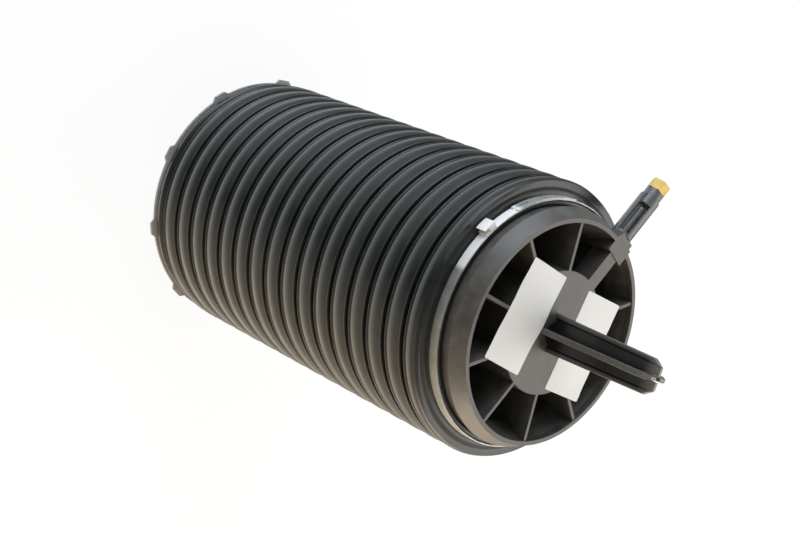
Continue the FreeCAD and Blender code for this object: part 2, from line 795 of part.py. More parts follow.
def poppet_face():
    """Where the poppet's metal face lies when the valve is shut."""
    seat = boss_reach + seat_gap + port_window_length + port_wall + valve_seat_depth
    return seat - poppet_seal_gap - poppet_seal_thickness


def check_valve_poppet():
    """Disc with a guide stem that lifts off its seat as air comes in."""
    body = port_body("check_valve_poppet")
    face = poppet_face()
    back = face - poppet_thickness
    section = port_sketch(body, "poppet_section")
    outline(section, (back - poppet_stem_length, 0), (face, 0), (face, poppet_radius),
            (back, poppet_radius), (back, poppet_stem_radius),
            (back - poppet_stem_length, poppet_stem_radius))
    spin(body, "Revolution", "poppet_disc", section, "H_Axis")
    return body


def poppet_seal():
    """Rubber facing on the poppet."""
    body = port_body("poppet_seal")
    section = port_sketch(body, "poppet_seal_section")
    rectangle(section, poppet_face(), 0, poppet_face() + poppet_seal_thickness,
              poppet_radius - seat_gap)
    spin(body, "Revolution", "poppet_facing", section, "H_Axis")
    return body


def check_valve_spring():
    """Light coil spring that holds the poppet shut."""
    body = port_body("check_valve_spring")
    back = poppet_face() - poppet_thickness - seat_gap / 2
    floor = boss_reach + seat_gap + port_window_length + port_wall
    start = floor - valve_spring_well + seat_gap / 2
    wire = port_sketch(body, "spring_wire_section")
    circle(wire, valve_spring_wire, start + valve_spring_wire, valve_spring_radius)
    coil = feature(body, "AdditiveHelix", "spring_coil", wire)
    coil.ReferenceAxis = (wire, ["H_Axis"])
    coil.Mode = "height-turns-angle"
    height = back - start - valve_spring_wire * 2
    coil.Height = number(height)
    coil.Turns = number(valve_spring_turns)
    coil.Angle = 0
    drive(coil, "Height", height)
    drive(coil, "Turns", valve_spring_turns)
    return body


def air_sleeve():
    """Rolling rubber sleeve: crimped at the cap, one lobe, crimped at the piston's neck."""
    body = new_body("air_sleeve")
    section = new_sketch(body, "sleeve_section", "XZ_Plane")
    outer = guide_inner - sleeve_gap
    inner = piston_radius + sleeve_gap
    middle = (outer + inner) / 2
    bulge = rim_height - crimp_drop - crimp_height - sleeve_thickness
    top = rim_height - sleeve_top_drop
    bend = piston_radius - shoulder_radius + seat_gap
    curve = inner - bend
    end = neck_height - neck_lip - seat_gap
    outline(section,
            (sleeve_end_inner, top), (sleeve_end_inner, bulge),
            (outer - sleeve_thickness, bulge - sleeve_thickness * 2),
            (outer - sleeve_thickness, lobe_height),
            arc(middle, lobe_height, -1),
            (inner + sleeve_thickness, lobe_height),
            (inner + sleeve_thickness, piston_shoulder_height),
            arc(bend, piston_shoulder_height, 1),
            (bend + sleeve_thickness, piston_shoulder_height + curve + sleeve_thickness),
            (bend + sleeve_thickness, end), (bend, end),
            (bend, piston_shoulder_height + curve),
            arc(bend, piston_shoulder_height, -1),
            (inner, piston_shoulder_height),
            (inner, lobe_height),
            arc(middle, lobe_height, 1),
            (outer, lobe_height),
            (outer, bulge - sleeve_thickness * 2), (sleeve_end_outer, bulge),
            (sleeve_end_outer, top))
    spin(body, "Revolution", "rolled_sleeve", section)
    return body


def sleeve_upper_crimp_ring():
    top = rim_height - crimp_drop
    return ring("sleeve_upper_crimp_ring", upper_crimp_inner, top - crimp_height,
                upper_crimp_outer, top)


def sleeve_lower_crimp_ring():
    inner = piston_radius - shoulder_radius + seat_gap * 2 + sleeve_thickness
    top = neck_height - neck_lip - seat_gap * 2
    return ring("sleeve_lower_crimp_ring", inner, top - lower_crimp_height,
                inner + lower_crimp_wall, top)


def guide_tube():
    top = clamp_slot_top - seat_gap
    return ring("guide_tube", guide_inner, top - guide_length, guide_outer, top)


def bump_stop_cup():
    """Pressed cup that holds the bump stop against the hub."""
    body = new_body("bump_stop_cup")
    section = new_sketch(body, "cup_section", "XZ_Plane")
    top = hub_under - seat_gap
    low = top - bump_cup_height
    outline(section,
            (spigot_hole_radius, top - bump_cup_wall),
            (bump_cup_radius - bump_cup_wall, top - bump_cup_wall),
            (bump_cup_radius - bump_cup_wall, low), (bump_cup_radius, low),
            (bump_cup_radius, top), (spigot_hole_radius, top))
    spin(body, "Revolution", "pressed_cup", section)
    return body


def bump_stop():
    """Foamed bump stop with two waists and a rounded nose."""
    body = new_body("bump_stop")
    section = new_sketch(body, "bump_section", "XZ_Plane")
    head = bump_cup_radius - bump_cup_wall - seat_gap
    wide = head - bump_waist / 2
    top = hub_under - seat_gap * 2 - bump_cup_wall
    low = top - bump_length
    third = bump_length / 3
    outline(section,
            (bump_bore_radius, top), (bump_bore_radius, low),
            (wide - bump_waist * 2, low),
            (wide - bump_waist / 2, low + bump_waist * 2),
            (wide - bump_waist / 2, low + third - bump_waist),
            arc(wide - bump_waist / 2, low + third, -1),
            (wide - bump_waist / 2, low + third + bump_waist),
            (wide, low + third * 2 - bump_waist),
            arc(wide, low + third * 2, -1),
            (wide, low + third * 2 + bump_waist),
            (head, top - bump_cup_height + bump_waist), (head, top))
    spin(body, "Revolution", "foam_stop", section)
    return body


def piston():
    """Hollow rolling piston with a crimp neck and a closed top."""
    body = new_body("piston")
    section = new_sketch(body, "piston_section", "XZ_Plane")
    neck = piston_radius - shoulder_radius
    shoulder_top = piston_shoulder_height + shoulder_radius
    peg = striker_peg_radius + seat_gap
    peg_floor = neck_height - striker_peg_length - seat_gap
    outline(section,
            (0, neck_height - piston_top), (neck - piston_wall, neck_height - piston_top),
            (neck - piston_wall, shoulder_top - piston_wall),
            (piston_radius - piston_wall, piston_shoulder_height - piston_wall),
            (piston_radius - piston_wall, base_thickness), (piston_radius, base_thickness),
            (piston_radius, piston_shoulder_height),
            arc(neck, piston_shoulder_height, 1),
            (neck, shoulder_top), (neck, neck_height - neck_lip),
            (neck + neck_lip, neck_height - neck_lip), (neck + neck_lip, neck_height),
            (peg, neck_height), (peg, peg_floor), (0, peg_floor))
    spin(body, "Revolution", "piston_shell", section)
    return body


def striker_plate():
    """Plate on the piston's top that the bump stop meets."""
    body = new_body("striker_plate")
    section = new_sketch(body, "striker_section", "XZ_Plane")
    top = neck_height + striker_thickness
    outline(section,
            (0, neck_height - striker_peg_length),
            (striker_peg_radius, neck_height - striker_peg_length),
            (striker_peg_radius, neck_height), (striker_radius, neck_height),
            (striker_radius, top - striker_thickness / 3),
            (striker_radius - striker_thickness / 3, top), (0, top))
    spin(body, "Revolution", "striker_disc", section)
    return body


def base_plate():
    """Base with lugs, a ring for the gaiter's foot, a spigot and a relieved underside."""
    body = new_body("base_plate")
    section = new_sketch(body, "base_section", "XZ_Plane")
    foot_outer = fold_root - gaiter_wall - soft_gap
    foot_inner = foot_outer - foot_ring_wall
    spigot_outer = piston_radius - piston_wall - soft_gap
    spigot_inner = spigot_outer - spigot_ring_wall
    groove = spigot_outer + soft_gap - seat_gap - base_ring_section * 2 - seat_gap
    groove_low = base_thickness + spigot_ring_height / 2 - base_ring_section - seat_gap
    groove_high = base_thickness + spigot_ring_height / 2 + base_ring_section + seat_gap
    bush_outer = bush_bore_radius + bush_wall + seat_gap / 2
    spigot_top = base_thickness + spigot_ring_height
    outline(section,
            (bush_outer, 0), (base_radius, 0), (base_radius, base_flange),
            (foot_seat_radius, base_flange), (foot_seat_radius, base_thickness),
            (foot_outer, base_thickness), (foot_outer, base_thickness + foot_ring_height),
            (foot_inner, base_thickness + foot_ring_height), (foot_inner, base_thickness),
            (spigot_outer, base_thickness), (spigot_outer, groove_low), (groove, groove_low),
            (groove, groove_high), (spigot_outer, groove_high), (spigot_outer, spigot_top),
            (spigot_inner, spigot_top), (spigot_inner, base_thickness),
            (base_boss_radius, base_thickness), (base_boss_radius, base_boss_height),
            (0, base_boss_height), (0, bush_length + seat_gap),
            (bush_outer, bush_length + seat_gap))
    spin(body, "Revolution", "base_disc", section)
    lug = new_sketch(body, "lug_outline", "XY_Plane")
    reach = crest_radius + lug_stand
    outline(lug,
            (foot_seat_radius, -lug_width / 2), (base_radius - lug_stand, -lug_width / 2),
            (reach, -lug_tip_width / 2), (reach, lug_tip_width / 2),
            (base_radius - lug_stand, lug_width / 2), (foot_seat_radius, lug_width / 2))
    lug_pad = extrude(body, "Pad", "lug", lug, base_flange)
    repeat_round(body, "lugs", lug_pad, lug_count)
    relief = new_sketch(body, "relief_outline", "XY_Plane")
    inner_half = relief_inner * tangent(180 / relief_count) - relief_rib / 2
    outer_half = relief_outer * tangent(180 / relief_count) - relief_rib / 2
    outline(relief, (relief_inner, -inner_half), (relief_outer, -outer_half),
            (relief_outer, outer_half), (relief_inner, inner_half))
    relief_cut = extrude(body, "Pocket", "relief", relief, relief_depth, reverse=True)
    repeat_round(body, "reliefs", relief_cut, relief_count)
    return body


def base_seal_ring():
    """Rubber ring in the spigot's groove, against the piston's inside."""
    body = new_body("base_seal_ring")
    section = new_sketch(body, "base_seal_section", "XZ_Plane")
    outer = piston_radius - piston_wall - seat_gap
    circle(section, base_ring_section, outer - base_ring_section,
           base_thickness + spigot_ring_height / 2)
    spin(body, "Revolution", "base_seal", section)
    return body


def locating_bush():
    """Metal bush in the base plate that takes the axle's locating pin."""
    return ring("locating_bush", bush_bore_radius, 0, bush_bore_radius + bush_wall,
                bush_length)


def gaiter():
    """Folded dust gaiter: thick blank, then the grooves outside and the folds inside."""
    body = new_body("gaiter")
    inner = fold_root - gaiter_wall
    foot = base_flange + soft_gap
    foot_inner = foot_seat_radius + soft_gap
    foot_step = base_thickness + soft_gap
    bead = crest_radius - foot_bead_drop
    neck = crest_radius - foot_neck_drop
    cuff_inner = skirt_radius + soft_gap
    cuff_outer = cuff_inner + cuff_wall
    cuff_top = band_bottom - soft_gap
    section = new_sketch(body, "gaiter_blank_section", "XZ_Plane")
    outline(section,
            (inner, foot_step), (foot_inner, foot_step), (foot_inner, foot),
            (bead - foot_bead_drop, foot), (bead, foot + foot_bead_drop),
            (bead, foot_bead_top - foot_bead_drop), (bead - foot_bead_drop, foot_bead_top),
            (neck, foot_bead_top), (neck, first_groove), (crest_radius, first_groove),
            (crest_radius, cuff_low - crest_round),
            (crest_radius - shoulder_reach, cuff_low - soft_gap),
            (cuff_outer, cuff_low), (cuff_outer, cuff_top), (cuff_inner, cuff_top),
            (cuff_inner, cuff_low), (inner, cuff_low - gaiter_wall))
    spin(body, "Revolution", "gaiter_blank", section)
    groove = new_sketch(body, "gaiter_groove_section", "XZ_Plane")
    lip = crest_radius - lip_drop
    mouth_low = first_groove - groove_mouth / 2
    mouth_high = first_groove + groove_mouth / 2
    outline(groove,
            (fold_root, first_groove - groove_root / 2),
            (lip, mouth_low), (lip, mouth_low - lip_width),
            (crest_radius, first_groove + crest_back - fold_pitch),
            (crest_radius + overrun, first_groove + crest_back - fold_pitch),
            (crest_radius + overrun, first_groove + crest_front),
            (crest_radius, first_groove + crest_front),
            (lip, mouth_high + lip_width), (lip, mouth_high),
            (fold_root, first_groove + groove_root / 2))
    groove_cut = spin(body, "Groove", "gaiter_groove", groove)
    repeat_along(body, "gaiter_grooves", groove_cut, "Z_Axis", fold_pitch, fold_count)
    hollow = new_sketch(body, "fold_hollow_section", "XZ_Plane")
    middle = first_groove + fold_pitch / 2
    wide = (fold_pitch - groove_root) / 2 - gaiter_wall
    narrow = (fold_pitch - groove_mouth) / 2 - gaiter_wall
    roof = lip - gaiter_wall
    outline(hollow,
            (inner - overrun, middle - wide), (roof, middle - narrow),
            (roof, middle + narrow), (inner - overrun, middle + wide))
    hollow_cut = spin(body, "Groove", "fold_hollow", hollow)
    repeat_along(body, "fold_hollows", hollow_cut, "Z_Axis", fold_pitch, fold_count - 1)
    last_groove = first_groove + fold_pitch * (fold_count - 1)
    top_hollow = new_sketch(body, "top_hollow_section", "XZ_Plane")
    outline(top_hollow,
            (inner - overrun, last_groove + groove_root / 2 + gaiter_wall),
            (roof, last_groove + groove_mouth / 2 + gaiter_wall),
            (roof, cuff_low - crest_round),
            (roof - shoulder_reach, cuff_low - gaiter_wall - soft_gap),
            (inner - overrun, cuff_low - gaiter_wall - soft_gap))
    spin(body, "Groove", "top_hollow", top_hollow)
    return body


def upper_gaiter_clamp():
    """Low stainless band clamp with a lapped strap and a crimped ear."""
    body = new_body("upper_gaiter_clamp", turn=clamp_lap_turn)
    inner = skirt_radius + soft_gap + cuff_wall + soft_gap
    outer = inner + clamp_thickness
    top = rim_height - clamp_drop
    low = top - clamp_width
    band = new_sketch(body, "band_section", "XZ_Plane")
    rectangle(band, inner, low, outer, top)
    spin(body, "Revolution", "band", band)
    lap = new_sketch(body, "lap_section", "XZ_Plane")
    rectangle(lap, outer, low, outer + clamp_thickness, top)
    lap_spin = spin(body, "Revolution", "lapped_strap", lap, angle=clamp_lap_angle)
    lap_spin.Reversed = True
    middle = low + clamp_width / 2
    slot = new_sketch(body, "slot_section", "XZ_Plane", swing=clamp_slot_start)
    rectangle(slot, outer, middle - clamp_slot_width / 2,
              outer + clamp_thickness * 2, middle + clamp_slot_width / 2)
    slot_spin = spin(body, "Groove", "strap_slot", slot, angle=clamp_slot_angle)
    slot_spin.Reversed = True
    window = new_sketch(body, "window_section", "XZ_Plane", swing=clamp_window_start)
    rectangle(window, outer, middle - clamp_window_width / 2,
              outer + clamp_thickness * 2, middle + clamp_window_width / 2)
    window_spin = spin(body, "Groove", "tongue_window", window, angle=clamp_window_angle)
    window_spin.Reversed = True
    second = new_sketch(body, "second_window_section", "XZ_Plane",
                        swing=clamp_window_start + clamp_window_pitch)
    rectangle(second, outer, middle - clamp_window_width / 2,
              outer + clamp_thickness * 2, middle + clamp_window_width / 2)
    second_spin = spin(body, "Groove", "second_tongue_window", second, angle=clamp_window_angle)
    second_spin.Reversed = True
    ear = new_sketch(body, "ear_section", "XZ_Plane", swing=clamp_ear_place)
    rectangle(ear, outer, low - clamp_ear_overhang, outer + clamp_ear_height, top)
    ear_spin = spin(body, "Revolution", "crimped_ear", ear, angle=clamp_ear_angle)
    ear_spin.Reversed = True
    bridge = new_sketch(body, "ear_hollow_section", "XZ_Plane",
                        swing=clamp_ear_place + (clamp_ear_angle - clamp_ear_hollow) / 2)
    rectangle(bridge, outer + clamp_thickness, low - clamp_ear_overhang * 2,
              outer + clamp_ear_height - clamp_thickness, top + overrun)
    bridge_spin = spin(body, "Groove", "ear_hollow", bridge, angle=clamp_ear_hollow)
    bridge_spin.Reversed = True
    return body


MAKERS = (top_cap, locating_post, port_housing, union_nut, tube_grip_ring, tube_seal_ring,
          check_valve_body, check_valve_poppet, poppet_seal, check_valve_spring, air_sleeve,
          sleeve_upper_crimp_ring, sleeve_lower_crimp_ring, guide_tube, bump_stop_cup,
          bump_stop, piston, striker_plate, base_plate, base_seal_ring, locating_bush,
          gaiter, upper_gaiter_clamp)

bodies = [maker() for maker in MAKERS]
bodies.append(label("near_hub_label", near_label_turn, near_label_shift, -1))
bodies.append(label("far_hub_label", far_label_turn, far_label_shift, 1))
doc.recompute()

for item in doc.Objects:
    if "Invalid" in item.State or "Error" in item.State:
        raise RuntimeError(item.Name + " failed: " + str(item.State))

os.makedirs("parts", exist_ok=True)
for body in bodies:
    shape = body.Shape
    if shape.isNull() or not shape.isValid() or len(shape.Solids) != 1:
        raise RuntimeError(body.Label + " has no single valid solid")
    shape.exportStep("parts/" + body.Label + ".step")
    print(body.Label, round(shape.Volume, 1), "mm3")
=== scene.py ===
# %% [markdown]
# # Air suspension spring
# The spring stands on its base plate, as it does in the car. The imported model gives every
# rigid piece at its real size. This script dresses those pieces and models the soft ones
# anew: the folded dust gaiter, the rolling sleeve, the bump stop, the valve's spring and the
# two paper labels. It also turns a copy of the brass union.

# %% Load the frame
import math

import bpy
from mathutils import Matrix, Quaternion, Vector


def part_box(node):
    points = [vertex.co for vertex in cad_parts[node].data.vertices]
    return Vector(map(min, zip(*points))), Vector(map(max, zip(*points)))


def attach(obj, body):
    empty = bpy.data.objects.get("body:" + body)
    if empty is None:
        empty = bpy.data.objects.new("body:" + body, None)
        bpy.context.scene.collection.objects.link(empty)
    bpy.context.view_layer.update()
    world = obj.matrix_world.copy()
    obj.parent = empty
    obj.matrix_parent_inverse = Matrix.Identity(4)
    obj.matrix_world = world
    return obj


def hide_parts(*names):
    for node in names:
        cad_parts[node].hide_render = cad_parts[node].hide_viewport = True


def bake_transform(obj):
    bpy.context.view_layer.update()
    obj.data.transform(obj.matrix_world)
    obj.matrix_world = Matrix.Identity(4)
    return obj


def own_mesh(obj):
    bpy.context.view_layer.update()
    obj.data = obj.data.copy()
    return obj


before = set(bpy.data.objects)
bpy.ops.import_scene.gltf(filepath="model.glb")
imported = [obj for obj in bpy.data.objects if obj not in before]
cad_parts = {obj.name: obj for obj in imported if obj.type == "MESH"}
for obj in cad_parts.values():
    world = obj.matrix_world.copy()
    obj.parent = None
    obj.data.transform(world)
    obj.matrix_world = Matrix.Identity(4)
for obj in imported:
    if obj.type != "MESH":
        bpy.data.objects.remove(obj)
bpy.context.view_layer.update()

# %% [markdown]
# ## Measures
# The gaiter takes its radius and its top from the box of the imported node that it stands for.
# Blender works in metres, and MM turns millimetres into them.

# %% Read the gaiter's box
MM = 0.001
gaiter_low, gaiter_high = [Vector(corner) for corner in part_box("gaiter")]
crest_radius = gaiter_high.y
print("gaiter", round((gaiter_high.z - gaiter_low.z) / MM, 1), "mm high, radius",
      round(crest_radius / MM, 1), "mm")

# %% [markdown]
# ## Helpers for modelling
# Operators act on whatever is selected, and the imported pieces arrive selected. So each new
# piece starts by emptying the selection.

# %% Empty the selection
def deselect_all():
    """Leave edit mode and deselect every object."""
    if bpy.context.object and bpy.context.object.mode == "EDIT":
        bpy.ops.object.mode_set(mode="OBJECT")
    bpy.ops.object.select_all(action="DESELECT")


deselect_all()
print("selected", len(bpy.context.selected_objects))

# %% [markdown]
# A turned or moulded ring is drawn like a lathe template. A small plane is merged to one
# vertex, and that vertex is extruded from corner to corner in the XZ plane. Spinning this
# profile round Z gives the skin. The seam's doubles are merged before the normals are turned
# outwards, and only then does a wall get its thickness.

# %% Draw a profile and spin it
MERGE_DISTANCE = 0.01 * MM


def start_profile(name, first):
    """Merge a small plane to one vertex, at the profile's first (radius, height)."""
    deselect_all()
    bpy.ops.mesh.primitive_plane_add(size=MM, location=(0, 0, 0))
    piece = bpy.context.object
    piece.name = name
    bpy.ops.object.mode_set(mode="EDIT")
    bpy.ops.mesh.select_all(action="SELECT")
    bpy.ops.mesh.merge(type="CENTER")
    bpy.ops.transform.translate(value=(first[0], 0, first[1]))
    return piece


def draw_profile(corners):
    """Extrude the picked vertex through corners given as (radius, height)."""
    spot = Vector((corners[0][0], 0, corners[0][1]))
    for radius, height in corners[1:]:
        after = Vector((radius, 0, height))
        bpy.ops.mesh.extrude_region_move(TRANSFORM_OT_translate={"value": after - spot})
        spot = after


def spin_profile(steps):
    """Turn the whole profile once round Z and close the seam."""
    bpy.ops.mesh.select_all(action="SELECT")
    bpy.ops.mesh.spin(steps=steps, angle=math.tau, center=(0, 0, 0), axis=(0, 0, 1))
    bpy.ops.mesh.select_all(action="SELECT")
    bpy.ops.mesh.remove_doubles(threshold=MERGE_DISTANCE)
    bpy.ops.mesh.normals_make_consistent(inside=False)


print("doubles merge within", round(MERGE_DISTANCE / MM, 3), "mm")

# %% [markdown]
# Soft skins are thin sheets first. Solidify gives them their wall, on the inner side where
# the offset is minus one, and the modifier is applied so that the mesh itself is closed.
# Shading by angle keeps real edges sharp and lets round stretches look round.

# %% Give a wall and finish a piece
INWARDS, OUTWARDS = -1.0, 1.0


def give_wall(piece, thickness, offset):
    """Leave edit mode and turn a sheet into a wall."""
    bpy.ops.object.mode_set(mode="OBJECT")
    wall = piece.modifiers.new("wall", "SOLIDIFY")
    wall.thickness = thickness
    wall.offset = offset
    bpy.ops.object.modifier_apply(modifier=wall.name)


def finish_piece(piece, smooth_angle):
    """Shade smooth up to an angle in degrees between faces, and say what was made."""
    deselect_all()
    piece.select_set(True)
    bpy.context.view_layer.objects.active = piece
    bpy.ops.object.shade_smooth_by_angle(angle=math.radians(smooth_angle))
    print(piece.name, len(piece.data.polygons), "faces")


print("walls grow", INWARDS, "inwards or", OUTWARDS, "outwards")

# %% [markdown]
# ## The gaiter
# The real gaiter is one moulded rubber skin with sixteen narrow grooves. Each groove has a
# thin raised lip on both edges, which catches the light as a fine bright line. Between two
# grooves the crest is slightly crowned: it rises from the lower lip, is highest at its middle
# and falls again, so a broad soft highlight runs along its lower half.
# One fold is worked out with a few formulas, and a loop repeats it at the mould's pitch.

# %% Sizes of the folds
PITCH = 14.85 * MM
GROOVE_COUNT = 16
FIRST_GROOVE = 11.3 * MM
GROOVE_DEPTH = 10.4 * MM
MOUTH_HALF = 1.4 * MM
ROOT_HALF = 0.6 * MM
WALL_SHARE = 0.4
WALL_DRAFT = 0.25 * MM
LIP_RADIUS = 0.45 * MM
LIP_DROP = 0.25 * MM
LIP_REACH = LIP_RADIUS * 2.5
CROWN_DROP = 0.85 * MM
CROWN_STEPS = 7
last_groove = FIRST_GROOVE + PITCH * (GROOVE_COUNT - 1)
print("grooves from", round(FIRST_GROOVE / MM, 1), "to", round(last_groove / MM, 1), "mm")


# %% [markdown]
# A lip is a small round bead. Its arc runs from the groove's wall over its top and down to
# the valley beside it, upwards for a lower lip and downwards for an upper one.

# %% Shape of a lip
LIP_TURNS = (-75, -35, 0, 40, 75)


def lip_corners(height, direction):
    """Corners over one lip, from the groove's side to the crown's side."""
    top = crest_radius - LIP_DROP
    corners = []
    for degrees in LIP_TURNS:
        turn = math.radians(degrees)
        corners.append((top - LIP_RADIUS + LIP_RADIUS * math.cos(turn),
                        height + direction * LIP_RADIUS * (1 + math.sin(turn))))
    return corners


print("corners over a lip", len(lip_corners(FIRST_GROOVE + MOUTH_HALF, 1)))

# %% [markdown]
# The crown between two lips is a flat parabola. A whole fold then goes from one groove's root
# up its wall, over lip, crown and lip, and down to the next root.

# %% Shape of a crown and of a fold
def crown_corners(low, high):
    """Corners over the crown between two lips."""
    middle = (low + high) / 2
    corners = []
    for step in range(CROWN_STEPS + 1):
        height = low + (high - low) * step / CROWN_STEPS
        part = (height - middle) / (middle - low)
        corners.append((crest_radius - CROWN_DROP * part * part, height))
    return corners


def fold_corners(groove):
    """One whole fold, from a groove's root over the crest to the next groove's edge."""
    root = crest_radius - GROOVE_DEPTH
    low = groove + MOUTH_HALF
    high = groove + PITCH - MOUTH_HALF
    wall = crest_radius - GROOVE_DEPTH * WALL_SHARE
    corners = [(root, groove), (root + ROOT_HALF, groove + ROOT_HALF)]
    corners.append((wall, low - WALL_DRAFT))
    corners += lip_corners(low, 1)
    corners += crown_corners(low + LIP_REACH, high - LIP_REACH)
    corners += reversed(lip_corners(high, -1))
    corners.append((wall, high + WALL_DRAFT))
    corners.append((root + ROOT_HALF, groove + PITCH - ROOT_HALF))
    return corners


print("corners in one fold", len(fold_corners(FIRST_GROOVE)))

# %% [markdown]
# The foot is a rounded bead that grips the base plate, with a neck above it. The top fold
# ends in a sharp edge, and a nearly flat shoulder with one shallow step leads in to the cuff
# that the band clamp holds. The cuff ends just above the clamp, with a dark gap up to the cap.

# %% Foot, shoulder and cuff
SHOULDER_BELOW_TOP = 14.2 * MM


def corners_in_mm(*pairs):
    """Turn (radius, height) pairs in millimetres into metres."""
    return [(radius * MM, height * MM) for radius, height in pairs]


foot = corners_in_mm((70.7, 1.6), (73.0, 1.6), (73.9, 1.9), (74.7, 2.6), (75.3, 3.5),
                     (75.8, 4.6), (76.15, 5.7), (76.3, 6.6), (76.2, 7.3), (75.6, 7.9),
                     (74.6, 8.3), (73.9, 9.0), (73.7, 10.2), (72.6, 10.7))
top_crown = [corner for corner in fold_corners(last_groove)
             if corner[1] < gaiter_high.z - SHOULDER_BELOW_TOP]
shoulder = corners_in_mm((76.85, 242.9), (76.75, 243.3), (76.7, 243.7), (76.35, 244.0),
                         (75.8, 243.9), (74.0, 243.8), (72.3, 243.9), (71.9, 244.35),
                         (69.8, 244.5), (68.3, 244.8), (67.6, 245.3), (67.45, 246.0))
cuff = corners_in_mm((67.4, 248.6), (67.4, 250.8), (67.3, 251.2), (67.0, 251.45),
                     (66.6, 251.5), (65.2, 251.5))
skin = list(foot)
for fold in range(GROOVE_COUNT - 1):
    skin += fold_corners(FIRST_GROOVE + fold * PITCH)
skin += top_crown + shoulder + cuff
print("profile corners", len(skin))

# %% [markdown]
# Spun in 112 steps, the outline stays round to a few hundredths of a millimetre. The wall is
# 1.2 mm, thinner than a real gaiter's folds, so that the inner sides of a fold stay apart.
# The skin replaces its imported solid.

# %% Spin the gaiter
GAITER_STEPS = 112
GAITER_WALL = 1.2 * MM
gaiter = start_profile("dust_gaiter", skin[0])
draw_profile(skin)
spin_profile(GAITER_STEPS)
give_wall(gaiter, GAITER_WALL, INWARDS)
finish_piece(gaiter, smooth_angle=48)
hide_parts("gaiter")
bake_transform(gaiter)

# %% [markdown]
# ## The sleeve, the bump stop and the valve's spring
# These soft pieces are hidden inside, but they move, so they are modelled too. Both round ones
# have a closed profile with arcs in it, so spinning it gives a closed piece and no Solidify is
# needed.

# %% Arcs and closed profiles
def arc_corners(middle, radius, start, end, steps):
    """Corners on an arc round (radius, height) in metres, between two angles in degrees."""
    turns = [math.radians(start + (end - start) * step / steps) for step in range(steps + 1)]
    return [(middle[0] + radius * math.cos(turn), middle[1] + radius * math.sin(turn))
            for turn in turns]


def spin_closed(name, loop, steps):
    """Spin a profile that ends where it starts."""
    piece = start_profile(name, loop[0])
    draw_profile(loop)
    spin_profile(steps)
    bpy.ops.object.mode_set(mode="OBJECT")
    finish_piece(piece, smooth_angle=40)
    return piece


print("corners on a half turn", len(arc_corners((0, 0), MM, 0, 180, 12)))

# %% [markdown]
# The rolling sleeve is one rubber wall: crimped to the cap at its top, turned over in a lobe
# at its foot and crimped to the piston's neck. The long outer wall has no corner between its
# two ends.

# %% Spin the rolling sleeve
SLEEVE_WALL = 2.2 * MM
SLEEVE_STEPS = 96
LOBE_MIDDLE, LOBE_RADIUS = (54.05 * MM, 107.0 * MM), 6.85 * MM
NECK_MIDDLE, NECK_RADIUS = (41.1 * MM, 127.0 * MM), 6.1 * MM
NECK_END_TURN = 74.6
LOBE_STEPS, NECK_STEPS = 12, 6
sleeve_loop = corners_in_mm((60.9, 221.4))
sleeve_loop += arc_corners(LOBE_MIDDLE, LOBE_RADIUS, 0, -180, LOBE_STEPS)
sleeve_loop += arc_corners(NECK_MIDDLE, NECK_RADIUS, 0, 90, NECK_STEPS)
sleeve_loop += corners_in_mm((41.1, 146.9), (43.3, 146.9))
sleeve_loop += arc_corners(NECK_MIDDLE, NECK_RADIUS + SLEEVE_WALL, NECK_END_TURN, 0, NECK_STEPS)
sleeve_loop += arc_corners(LOBE_MIDDLE, LOBE_RADIUS - SLEEVE_WALL, -180, 0, LOBE_STEPS)
sleeve_loop += corners_in_mm((58.7, 221.4), (57.5, 225.8), (57.5, 246.0), (59.7, 246.0),
                             (59.7, 225.8), (60.9, 221.4))
sleeve = spin_closed("rolling_air_sleeve", sleeve_loop, SLEEVE_STEPS)
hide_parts("air_sleeve")
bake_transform(sleeve)

# %% [markdown]
# The bump stop is a foam cone with two waists, which fold shut when it meets the striker
# plate. At full bump it keeps a little over half of its height.

# %% Spin the bump stop
STOP_STEPS = 64
WAIST_RADIUS, WAIST_STEPS = 4.0 * MM, 14
stop_loop = corners_in_mm((7.0, 261.0), (7.0, 187.0), (13.2, 187.0), (14.4, 187.5), (20.0, 194.6),
                          (20.2, 195.6))
for waist in corners_in_mm((20.2, 211.7), (22.2, 236.3)):
    stop_loop += arc_corners(waist, WAIST_RADIUS, -90, -270, WAIST_STEPS)
stop_loop += corners_in_mm((24.2, 255.0), (24.2, 261.0), (7.0, 261.0))
stop = spin_closed("foam_bump_stop", stop_loop, STOP_STEPS)
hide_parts("bump_stop")
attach(stop, "upper")
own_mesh(stop)

# %% [markdown]
# The valve's spring is five turns of thin wire. A small circle of vertices, drawn at the
# spring's radius, is swept by a Screw modifier, and its ends are closed.

# %% Wind the valve's spring
SPRING_START, SPRING_LENGTH = -90.2 * MM, 6.2 * MM
SPRING_RADIUS, SPRING_WIRE = 1.1 * MM, 0.2 * MM
SPRING_TURNS, SPRING_STEPS = 5, 120
PORT_HEIGHT = 260.2 * MM
deselect_all()
bpy.ops.mesh.primitive_circle_add(vertices=10, radius=SPRING_WIRE, fill_type="NOTHING",
                                  location=(0, SPRING_RADIUS, 0))
spring = bpy.context.object
spring.name = "valve_return_spring"
bpy.ops.object.transform_apply(location=True, rotation=True, scale=True)
sweep = spring.modifiers.new("sweep", "SCREW")
sweep.axis = "X"
sweep.angle = math.tau * SPRING_TURNS
sweep.screw_offset = SPRING_LENGTH
sweep.steps = sweep.render_steps = SPRING_STEPS
bpy.ops.object.modifier_apply(modifier=sweep.name)
print("wire", len(spring.data.vertices), "vertices")

# %% [markdown]
# The open ends of the wire are the only edges with a face on one side alone, so they are
# picked as non-manifold and filled. The spring then moves to its place in the port.

